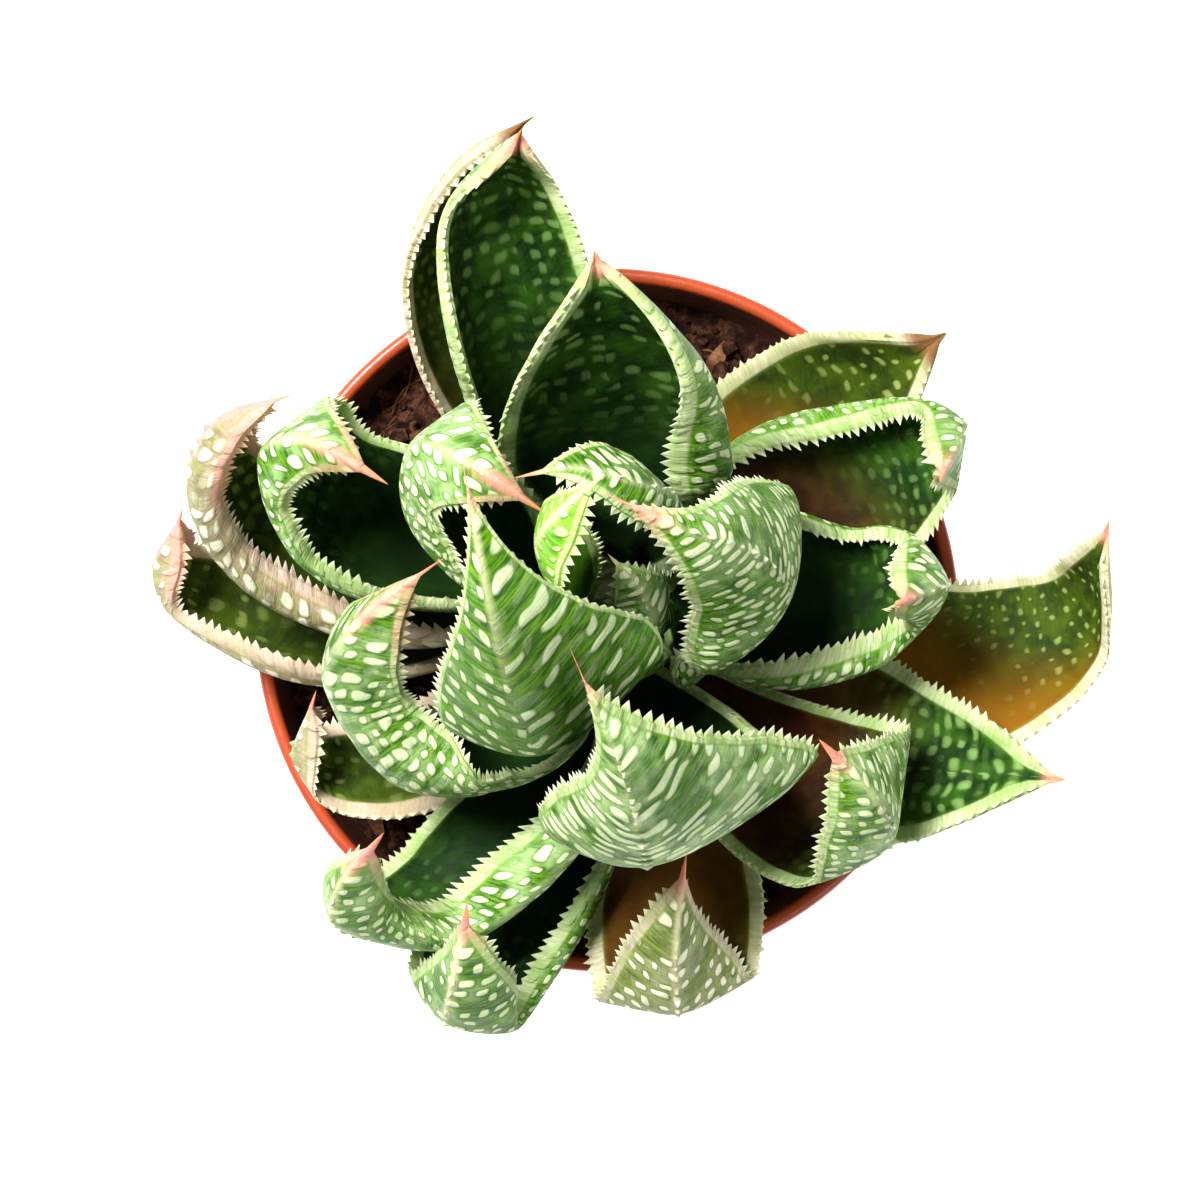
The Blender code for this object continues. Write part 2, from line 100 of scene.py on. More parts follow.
def finishPiece(piece, name, material, node=None):
    piece.name = name
    piece.data.name = name
    piece.data.materials.clear()
    piece.data.materials.append(material)
    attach(piece, "root")
    if node:
        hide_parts(node)


# Shader helpers: each adds one node and returns its output

class Shader:
    def __init__(self, tree):
        self.tree = tree

    def add(self, kind, inputs=None, output=0, **settings):
        node = self.tree.nodes.new(kind)
        for name, value in settings.items():
            setattr(node, name, value)
        for name, value in (inputs or {}).items():
            self.feed(value, node.inputs[name])
        return node.outputs[output]

    def feed(self, value, socket):
        if isinstance(value, bpy.types.NodeSocket):
            self.tree.links.new(value, socket)
        else:
            socket.default_value = value

    def math(self, operation, a, b=0.0, clamp=False):
        return self.add("ShaderNodeMath", {0: a, 1: b}, operation=operation, use_clamp=clamp)

    def plus(self, a, b, clamp=False):
        return self.math("ADD", a, b, clamp)

    def minus(self, a, b, clamp=False):
        return self.math("SUBTRACT", a, b, clamp)

    def times(self, a, b):
        return self.math("MULTIPLY", a, b)

    def scale(self, value, low, high, toLow=0.0, toHigh=1.0, smooth=True):
        kind = "SMOOTHSTEP" if smooth else "LINEAR"
        inputs = {"Value": value, "From Min": low, "From Max": high, "To Min": toLow, "To Max": toHigh}
        return self.add("ShaderNodeMapRange", inputs, interpolation_type=kind)

    def mix(self, amount, a, b, blend="MIX"):
        node = self.tree.nodes.new("ShaderNodeMix")
        node.data_type = "RGBA"
        node.blend_type = blend
        self.feed(amount, node.inputs[0])
        for value, socket in ((a, node.inputs[6]), (b, node.inputs[7])):
            self.feed(value if isinstance(value, bpy.types.NodeSocket) else (*value, 1), socket)
        return node.outputs[2]

    def value(self, name, output="Fac"):
        return self.add("ShaderNodeAttribute", output=output, attribute_name=name)

    def place(self):
        return self.add("ShaderNodeTexCoord", output="Object")

    def parts(self, vector):
        node = self.tree.nodes.new("ShaderNodeSeparateXYZ")
        self.feed(vector, node.inputs[0])
        return node.outputs[0], node.outputs[1], node.outputs[2]

    def join(self, x, y, z):
        return self.add("ShaderNodeCombineXYZ", {0: x, 1: y, 2: z})

    def noise(self, vector, scale, detail=2.0, roughness=0.5, output=0):
        inputs = {"Vector": vector, "Scale": scale, "Detail": detail, "Roughness": roughness}
        return self.add("ShaderNodeTexNoise", inputs, output)

    def draws(self, place, output="Value"):
        return self.add("ShaderNodeTexWhiteNoise", {"Vector": place}, output, noise_dimensions="3D")

    def draws(self, place, output="Value"):
        return self.add("ShaderNodeTexWhiteNoise", {"Vector": place}, output, noise_dimensions="3D")

    def stretch(self, vector, size):
        return self.add("ShaderNodeMapping", {"Vector": vector, "Scale": size})

    def bump(self, height, distance, strength=1.0, normal=None):
        inputs = {"Height": height, "Distance": distance, "Strength": strength}
        if normal:
            inputs["Normal"] = normal
        return self.add("ShaderNodeBump", inputs)

    def group(self, group, inputs):
        node = self.tree.nodes.new("ShaderNodeGroup")
        node.node_tree = group
        for name, value in inputs.items():
            self.feed(value, node.inputs[name])
        return node.outputs

    def finish(self, inputs):
        for name, value in inputs.items():
            self.feed(value, self.tree.nodes["Principled BSDF"].inputs[name])


def newGroup(name, inputs, outputs):
    # an input that starts at None is a vector, and every other socket is a number
    group = bpy.data.node_groups.new(name, "ShaderNodeTree")
    for label, start in inputs.items():
        kind = "NodeSocketVector" if start is None else "NodeSocketFloat"
        socket = group.interface.new_socket(label, in_out="INPUT", socket_type=kind)
        if start is not None:
            socket.default_value = start
    for label in outputs:
        group.interface.new_socket(label, in_out="OUTPUT", socket_type="NodeSocketFloat")
    source = group.nodes.new("NodeGroupInput")
    target = group.nodes.new("NodeGroupOutput")
    return Shader(group), source.outputs, target.inputs


def newMaterial(name):
    material = bpy.data.materials.new(name)
    material.use_nodes = True
    return material, Shader(material.node_tree)


# Camera, floor and light

view = {
    "place": (-1.2, 3.4),       # where the camera stands over the pot
    "aboveRim": 420.0,
    "rimHeight": 92.0,
    "pixelsPerMm": 353 / 60,    # the rim is 353 pixels in radius in the photograph and 60 mm in life
    "frame": 1200,              # pixels across the photograph
    "nearest": 0.01,            # metres
}

studio = {
    "floorSize": 4,             # metres
    "floorColour": (0.93, 0.93, 0.93),
    "floorCloud": 12.0,         # rate of the faint clouding on the floor
    "floorTone": (0.985, 1.0),
    "floorRoughness": 0.9,
    "floorGlow": 0.72,          # the floor is lit from below a little, like a studio's white table
    "white": (1, 1, 1, 1),
    "worldStrength": 0.17,
    "aim": (0, 0, 120),         # what the lamps point at
    "keyPlace": (-340, 330, 860),
    "keySize": 300,
    "keyPower": 20.0,           # watts
    "fillPlace": (500, -350, 650),
    "fillSize": 500,
    "fillPower": 2.0,
}


def placeObject(name, data, place):
    thing = bpy.data.objects.new(name, data)
    bpy.context.scene.collection.objects.link(thing)
    thing.location = Vector(place) * mm
    return thing


def makeCamera():
    data = bpy.data.cameras.new("camera")
    data.sensor_fit = "HORIZONTAL"
    data.angle = 2 * atan(view["frame"] / 2 / view["pixelsPerMm"] / view["aboveRim"])
    data.clip_start = view["nearest"]
    place = (*view["place"], view["rimHeight"] + view["aboveRim"])
    bpy.context.scene.camera = placeObject("camera", data, place)


def makeLamp(name):
    data = bpy.data.lights.new(name + "Light", "AREA")
    data.size = studio[name + "Size"] * mm
    data.energy = studio[name + "Power"]
    lamp = placeObject(name + "Light", data, studio[name + "Place"])
    towards = Vector(studio["aim"]) * mm - lamp.location
    lamp.rotation_euler = towards.to_track_quat("-Z", "Y").to_euler()


def makeStudio():
    deselectAll()
    bpy.ops.mesh.primitive_plane_add(size=studio["floorSize"], location=(0, 0, 0))
    floor = bpy.context.object
    floor.name = "floor"
    material, shader = newMaterial("paleFloor")
    tone = shader.scale(shader.noise(shader.place(), studio["floorCloud"]), 0.3, 0.7, *studio["floorTone"])
    tone = shader.add("ShaderNodeCombineColor", {0: tone, 1: tone, 2: tone})
    shader.finish({
        "Base Color": shader.mix(1.0, studio["floorColour"], tone, "MULTIPLY"),
        "Roughness": studio["floorRoughness"], "Emission Color": studio["white"],
        "Emission Strength": studio["floorGlow"],
    })
    floor.data.materials.append(material)
    world = bpy.data.worlds.new("studio")
    world.use_nodes = True
    background = world.node_tree.nodes["Background"].inputs
    background["Color"].default_value = studio["white"]
    background["Strength"].default_value = studio["worldStrength"]
    bpy.context.scene.world = world
    makeLamp("key")
    makeLamp("fill")
    bpy.context.scene.view_settings.view_transform = "Standard"


makeCamera()
makeStudio()
print("camera and studio made")


# Pattern groups

fleckShape = {
    "wobbleScale": 0.14,        # how quickly the rows wander, and how far across and along
    "wobble": (3.0, 4.0, 0.0),
    "sideApart": 40.5,          # keeps the draws of the two sides of the keel apart
    "shift": 0.12,              # how far a fleck stands off its row, as a share of the pitch
    "long": (0.4, 1.0),         # least and most, as shares of a full fleck
    "wide": (0.52, 0.84),
    "longPower": 3.6,           # how square its ends and its sides are, where 2 is an oval
    "widePower": 2.3,
    "halo": (3.4, 1.2),         # where the dark rim round it ends and starts
    "height": (1.8, 0.0),
}


def makeFleckGroup():
    # pale flecks in close rows across the leaf, which slant toward the tip from keel to margin
    shader, given, wanted = newGroup(
        "flecks",
        {"Skin": None, "Length": 5.0, "Pitch": 2.5, "Slant": 0.5, "Fill": 0.5, "Soft": 0.16, "Kept": 0.83},
        ("Mask", "Halo", "Height"))
    wobble = shader.noise(given["Skin"], fleckShape["wobbleScale"], 1.0, output="Color")
    wobble = shader.add("ShaderNodeVectorMath", {0: wobble, 1: (0.5, 0.5, 0.5)}, operation="SUBTRACT")
    wobble = shader.add("ShaderNodeVectorMath", {0: wobble, 1: fleckShape["wobble"]}, operation="MULTIPLY")
    moved = shader.add("ShaderNodeVectorMath", {0: given["Skin"], 1: wobble}, operation="ADD")
    across, along, seed = shader.parts(moved)
    out = shader.math("ABSOLUTE", across)
    side = shader.math("SIGN", across)
    row = shader.minus(along, shader.times(out, given["Slant"]))
    row = shader.math("DIVIDE", row, given["Pitch"])
    rowNumber = shader.math("FLOOR", row)
    start = shader.draws(shader.join(side, rowNumber, seed))
    cell = shader.plus(shader.math("DIVIDE", out, given["Length"]), start)
    cellNumber = shader.plus(shader.math("FLOOR", cell), shader.times(side, fleckShape["sideApart"]))
    first, second, third = shader.parts(shader.draws(shader.join(cellNumber, rowNumber, seed), "Color"))
    shift = shader.scale(third, 0.0, 1.0, -fleckShape["shift"], fleckShape["shift"], smooth=False)
    u = shader.minus(shader.math("FRACT", cell), 0.5)
    v = shader.plus(shader.minus(shader.math("FRACT", row), 0.5), shift)
    reach = []
    for offset, drawn, side in ((u, first, "long"), (v, second, "wide")):
        half = shader.times(given["Fill"], shader.scale(drawn, 0.0, 1.0, *fleckShape[side], smooth=False))
        offset = shader.math("ABSOLUTE", shader.math("DIVIDE", offset, half))
        reach.append(shader.math("POWER", offset, fleckShape[side + "Power"]))
    reach = shader.plus(*reach)
    kept = shader.math("LESS_THAN", third, given["Kept"])
    low = shader.minus(1.0, shader.times(given["Soft"], 4.0))
    mask = shader.times(shader.scale(reach, shader.plus(1.0, given["Soft"]), low), kept)
    shader.feed(mask, wanted["Mask"])
    shader.feed(shader.minus(shader.scale(reach, *fleckShape["halo"]), mask, True), wanted["Halo"])
    shader.feed(shader.times(shader.scale(reach, *fleckShape["height"]), kept), wanted["Height"])
    return shader.tree


def makeStreakGroup():
    # fine streaks and wrinkles across the leaf, slanted like the flecks, over larger soft patches
    shader, given, wanted = newGroup(
        "streaks", {"Skin": None, "Slant": 0.5, "Across": 0.22, "Along": 1.5, "Patches": 0.15},
        ("Value", "Patch", "Height"))
    across, along, seed = shader.parts(given["Skin"])
    rise = shader.times(shader.math("ABSOLUTE", across), given["Slant"])
    x = shader.times(across, given["Across"])
    y = shader.times(shader.minus(along, rise), given["Along"])
    fine = shader.noise(shader.join(x, y, seed), 1.0, 3.0, 0.6)
    patch = shader.noise(given["Skin"], given["Patches"])
    shader.feed(shader.scale(fine, 0.38, 0.62), wanted["Value"])
    shader.feed(shader.scale(patch, 0.4, 0.62), wanted["Patch"])
    shader.feed(fine, wanted["Height"])
    return shader.tree


def makeMottleGroup():
    # soft blotches with finer grain inside them, for plastic, peat, bark and stem
    shader, given, wanted = newGroup(
        "mottle", {"Place": None, "Blotch": 90.0, "Grain": 1400.0, "GrainHeight": 0.35},
        ("Value", "Grain", "Height"))
    blotch = shader.noise(given["Place"], given["Blotch"], 4.0, 0.6)
    grain = shader.noise(given["Place"], given["Grain"])
    shader.feed(shader.scale(blotch, 0.35, 0.65), wanted["Value"])
    shader.feed(shader.scale(grain, 0.3, 0.7), wanted["Grain"])
    shader.feed(shader.plus(blotch, shader.times(grain, given["GrainHeight"])), wanted["Height"])
    return shader.tree


fleckGroup = makeFleckGroup()
streakGroup = makeStreakGroup()
mottleGroup = makeMottleGroup()


# Leaf materials

# face and faceDeep are the inner face's own dark green, darkened further for the shade between the leaves:
# partly painted shade
leafLooks = {
    "youngLeaf": {
        "green": (0.24, 0.52, 0.030), "deep": (0.09, 0.30, 0.010), "bloom": (0.40, 0.64, 0.14),
        "fleck": (0.66, 0.84, 0.36), "face": (0.20, 0.44, 0.02), "faceDeep": (0.05, 0.20, 0.004),
        "faceSpot": (0.40, 0.64, 0.14), "band": (0.52, 0.72, 0.22), "tooth": (0.78, 0.88, 0.52),
        "roughness": 0.45,
    },
    "leaf": {
        "green": (0.122, 0.30, 0.008), "deep": (0.020, 0.092, 0.004), "bloom": (0.35, 0.53, 0.19),
        "fleck": (0.78, 0.88, 0.52), "face": (0.026, 0.090, 0.003), "faceDeep": (0.003, 0.018, 0.001),
        "faceSpot": (0.25, 0.42, 0.12), "band": (0.38, 0.48, 0.19), "tooth": (0.80, 0.83, 0.58),
        "roughness": 0.48,
    },
    "oldLeaf": {
        "green": (0.22, 0.29, 0.040), "deep": (0.075, 0.125, 0.015), "bloom": (0.40, 0.43, 0.22),
        "fleck": (0.90, 0.87, 0.66), "face": (0.050, 0.085, 0.002), "faceDeep": (0.012, 0.028, 0.001),
        "faceSpot": (0.34, 0.40, 0.11), "band": (0.45, 0.41, 0.26), "tooth": (0.82, 0.76, 0.56),
        "roughness": 0.52,
    },
}

leafTints = {
    "pink": (0.80, 0.28, 0.23),
    "spine": (0.74, 0.22, 0.09),
    "mauve": (0.58, 0.33, 0.30),
    # the rust-brown of an old leaf's base, set as dark as it looks in shade: partly painted shade
    "rustAndShade": (0.036, 0.007, 0.001),
    "amber": (0.25, 0.095, 0.001),
    "dry": (0.20, 0.090, 0.032),
    "keel": (0.70, 0.68, 0.38),
}

leafMix = {                     # how strongly one colour lies over another, from 0 to 1, and where
    "halo": 0.4,                # dark rims round the flecks
    "blushBack": 0.7,           # mauve on the back and in the margin band
    "blushBand": 0.5,
    "fleckLeast": 0.78,         # flecks between the paler patches
    "keelRun": (0.4, 0.9),      # pale keel line, as shares of the length
    "facePatches": 0.7,         # in the inner face's tone, beside its streaks
    "faceStreaks": 0.3,
    "faceRootShade": (0.75, 0.3, 0.0, 0.85),     # painted shade, deeper toward the root: shares of the length, then strengths
    "spotRun": (0.35, 0.95, 0.0, 0.85),     # soft spots toward the tip, likewise
    "warmFade": 0.35,           # share of the length over which the rust-brown, partly painted shade, and amber fade
    "amberPatches": 0.12,
    "line": (0.5, 0.3),         # green line along the margin band, and how much less on the inner face
    "bandStreaks": 0.35,
    "bandPatches": 0.42,
    "teeth": 0.8,
    "tipFade": 0.08,            # share of the length over which the pink of the tip comes
    "spine": (0.15, 0.9),       # on a leaf with no tint at its tip and on one with much
    "roughStreaks": (-0.06, 0.1),   # what streaks, flecks and the inner face add to the roughness
    "roughFlecks": 0.1,
    "roughFace": 0.22,
}

# the fleck group's values for the softer spots on the inner face, and how much longer they are
softSpots = {"longer": 1.15, "Slant": 0.12, "Soft": 0.3, "Kept": 0.76}


def makeLeafMaterial(name):
    look = leafLooks[name]
    material, shader = newMaterial(name)
    skin = shader.value("skin", "Vector")
    edge = shader.value("edge")
    run = shader.value("run")
    face = shader.value("inner")
    tipTint = shader.value("tipTint")
    offKeel = shader.math("ABSOLUTE", shader.parts(skin)[0])
    fleckLong = shader.value("fleckLength")
    rows = {"Skin": skin, "Length": fleckLong, "Pitch": shader.value("fleckPitch"),
            "Fill": shader.value("fleckFill")}
    flecks = shader.group(fleckGroup, rows)
    rows["Length"] = shader.times(fleckLong, softSpots["longer"])
    rows.update({key: softSpots[key] for key in ("Slant", "Soft", "Kept")})
    spots = shader.group(fleckGroup, rows)
    streaks = shader.group(streakGroup, {"Skin": skin})
    streak, patch = streaks["Value"], streaks["Patch"]
    blush = shader.times(shader.value("blush"), shader.scale(edge, 3.0, 0.8, 0.35, 1.0))

    # back of the leaf
    back = shader.mix(streak, look["deep"], look["green"])
    back = shader.mix(shader.times(patch, shader.value("bloom")), back, look["bloom"])
    back = shader.mix(shader.times(flecks["Halo"], leafMix["halo"]), back, look["deep"])
    back = shader.mix(shader.times(blush, leafMix["blushBack"]), back, leafTints["mauve"])
    clear = shader.scale(patch, 0.0, 1.0, leafMix["fleckLeast"])
    clear = shader.times(shader.scale(edge, 0.95, 1.4), clear)
    back = shader.mix(shader.times(flecks["Mask"], clear), back, look["fleck"])
    keel = shader.times(shader.value("keelLine"), shader.scale(run, *leafMix["keelRun"]))
    back = shader.mix(shader.times(keel, shader.value("ridge")), back, leafTints["keel"])

    # inner face: painted shade that deepens toward the root, soft spots toward the tip, and amber or shaded
    # rust-brown low on an old leaf
    tone = shader.times(patch, leafMix["facePatches"])
    tone = shader.plus(tone, shader.times(streak, leafMix["faceStreaks"]))
    front = shader.mix(tone, look["faceDeep"], look["face"])
    # painted shade: the inner face darkens toward its root, down between the leaves
    front = shader.mix(shader.scale(run, *leafMix["faceRootShade"]), front, look["faceDeep"])
    spot = shader.times(spots["Mask"], shader.scale(run, *leafMix["spotRun"]))
    front = shader.mix(spot, front, look["faceSpot"])
    # rust-brown low on an old leaf, as dark as it looks in shade (partly painted shade), warmed toward amber
    reach = shader.value("warmTo")
    old = shader.scale(run, reach, shader.minus(reach, leafMix["warmFade"]))
    old = shader.times(shader.value("rustAndShade"), old)
    warmth = shader.plus(shader.value("amber"), shader.times(patch, leafMix["amberPatches"]), True)
    front = shader.mix(old, front, shader.mix(warmth, leafTints["rustAndShade"], leafTints["amber"]))

    # margin band and teeth
    colour = shader.mix(face, back, front)
    lineOn, lineLess = leafMix["line"]
    line = shader.times(shader.scale(edge, 1.7, 1.15), shader.minus(lineOn, shader.times(face, lineLess)))
    colour = shader.mix(line, colour, look["green"])
    bandTone = shader.mix(shader.times(streak, leafMix["bandStreaks"]), look["band"], look["tooth"])
    bandTone = shader.mix(shader.times(patch, leafMix["bandPatches"]), bandTone, look["green"])
    bandTone = shader.mix(shader.times(blush, leafMix["blushBand"]), bandTone, leafTints["mauve"])
    colour = shader.mix(shader.scale(edge, 1.2, 0.8), colour, bandTone)
    colour = shader.mix(shader.times(shader.value("tooth"), leafMix["teeth"]), colour, look["tooth"])

    # pink along the keel and the edges toward the tip, a pink to brown spine, and the brown of a dried tip
    tipFrom = shader.value("tipFrom")
    tipFull = shader.math("MINIMUM", shader.plus(tipFrom, leafMix["tipFade"]), 1.0)
    near = shader.math("MAXIMUM", shader.scale(offKeel, 2.4, 0.7), shader.scale(edge, 1.5, 0.7, 0.0, 0.5))
    near = shader.math("MAXIMUM", near, shader.scale(run, 0.965, 0.985))
    tip = shader.times(shader.times(tipTint, near), shader.scale(run, tipFrom, tipFull))
    colour = shader.mix(tip, colour, leafTints["pink"])
    spine = shader.times(shader.value("spine"), shader.scale(tipTint, 0.0, 0.6, *leafMix["spine"]))
    colour = shader.mix(spine, colour, leafTints["spine"])
    dry = shader.times(shader.value("dryTip"), shader.scale(run, 0.93, 0.97))
    colour = shader.mix(dry, colour, leafTints["dry"])

    smoother, rougher = leafMix["roughStreaks"]
    rough = shader.scale(streak, 0.0, 1.0, look["roughness"] + smoother, look["roughness"] + rougher)
    rough = shader.plus(rough, shader.times(flecks["Mask"], leafMix["roughFlecks"]))
    raised = shader.bump(flecks["Height"], 0.00022, shader.scale(face, 0.0, 1.0, 1.0, 0.0))
    wrinkled = shader.bump(streaks["Height"], 0.0003, shader.scale(face, 0.0, 1.0, 0.8, 0.15), raised)
    shader.finish({
        "Base Color": colour, "Roughness": shader.plus(rough, shader.times(face, leafMix["roughFace"])),
        "Normal": shader.bump(shader.noise(skin, 2.6), 0.00008, 0.7, wrinkled), "Specular IOR Level": 0.14,
        "Subsurface Weight": 0.12, "Subsurface Radius": (0.5, 1.0, 0.1), "Subsurface Scale": 0.002,
    })
    return material


leafMaterials = {name: makeLeafMaterial(name) for name in leafLooks}
print("leaf materials made")


# Leaf shapes: the same formula and values as the solid leaves, on a finer grid

plant = {
    "rim": 92.0,
    "soil": 80.0,
    "stem": (2.0, 3.0),
    "stemRadius": 9.0,
    "stemTopRadius": 4.0,
    "stemLength": 48.0,
    "stemDepth": 12.0,
    "gap": 0.3,
}

blade = {
    "curveSteps": 24,
    "spineSteps": 64,
    "pathPasses": 3,
    "framePasses": 70,
    "rootShare": 0.35,
    "rootLift": 25.0,
    "foldPower": 1.8,
    "foldSteps": 16,
    "edge": 1.6,
    "edgePower": 1.5,
    "rootThickness": 0.55,
    "fullThicknessAt": 0.25,
    "tipThinning": 0.55,
    "mostThickness": 0.42,
    "seatingBack": (-1, -0.74, -0.4, -0.06, 0.06, 0.4, 0.74, 1),
    "seatingFace": (1, 0.6, 0, -0.6, -1),
    "seatingPasses": 5,
    "backColumns": 26,          # an even number leaves one row of faces on the keel
    "faceColumns": 18,
    "rootRound": 3.5,           # radius of the rounded keel near the root and near the tip
    "tipRound": 0.4,
    "roundRun": (0.95, 0.4),    # share of the length where the tip's radius starts, and over which it grows
    "mostRound": 0.2,           # of a half's width
    "edgeBulge": 0.35,
    "mostBulge": 0.1,           # of a half's width
    "bandShare": 0.5,           # of a half's width, where the leaf is narrow
    "wave": 0.22,               # how far the skin waves in and out
    "waveLength": 8.5,
    "waveFade": 0.2,            # share of the length at either end
    "keelLine": 1.1,            # half the width of the pale line
    "leastHalf": 0.3,           # half width that the patterns take at the tip
    "patternsApart": 7.3,       # keeps one leaf's pattern apart from the next one's
}

teeth = {
    "first": 0.10,              # shares of the length
    "last": 0.955,
    "tipRows": (0.968, 0.978, 0.987),
    "rootPitch": 2.4,
    "tipPitch": 1.5,
    "pitchDraw": (0.78, 1.22),
    "baseShare": 0.88,          # of the pitch
    "rootHeight": 1.7,
    "tipHeight": 1.25,
    "heightDraw": (0.5, 1.25),
    "growOver": 0.12,           # share of the length over which the first teeth grow to their height
    "least": 0.35,              # share of their height that the first teeth have
    "lean": 0.5,                # toward the tip, as a share of the height
    "keelRange": (0.45, 0.86),
    "keelEvery": 2,
    "keelHeight": 0.75,
    "spineRadius": 1.1,
    "spineRings": ((0.12, 0.85), (0.4, 0.62), (0.75, 0.32), (1.0, 0.0)),  # shares of its length and radius
    "spineTone": (0.3, 1.0),    # how strongly its tint shows at its root and at its point
}

# Each leaf has its root (degrees round the stem, and height over the soil), its keel's course (from the
# pot's axis, and over the rim), its width and what either half takes of it, the point that its face looks
# at, its roll, the slopes of keel and margin at the root and at the tip, the margins' extra curl, and how
# its width and thickness run. Then come its looks: the flecks' length, pitch and fullness, the flecks'
# length and the teeth's height on either half, the margin band's width, the spine's length, shares of the
# length, and tints from 0 to 1.
leafDefaults = dict(
    halves=(1, 1), faces=(2, 3, 40), roll=(0, 0), fold=(30, 85, 45, 60), curl=(0, 0), rootWidth=(0.2, 0.2),
    widest=0.45, blunt=1.75, taper=1.0, thick=5.5,
    material="leaf", fleck=(4.4, 2.9, 0.48), fleckSides=(1, 1), toothSides=(1, 1), keelTeeth=True,
    band=2.3, spine=3.2, tipFrom=0.93, tipTint=0.8, bloom=0.5, ridge=0.5, blush=0.0, rustAndShade=0.0, amber=0.0,
    warmTo=0.62, warmSide=0.0, dryTip=0.0)

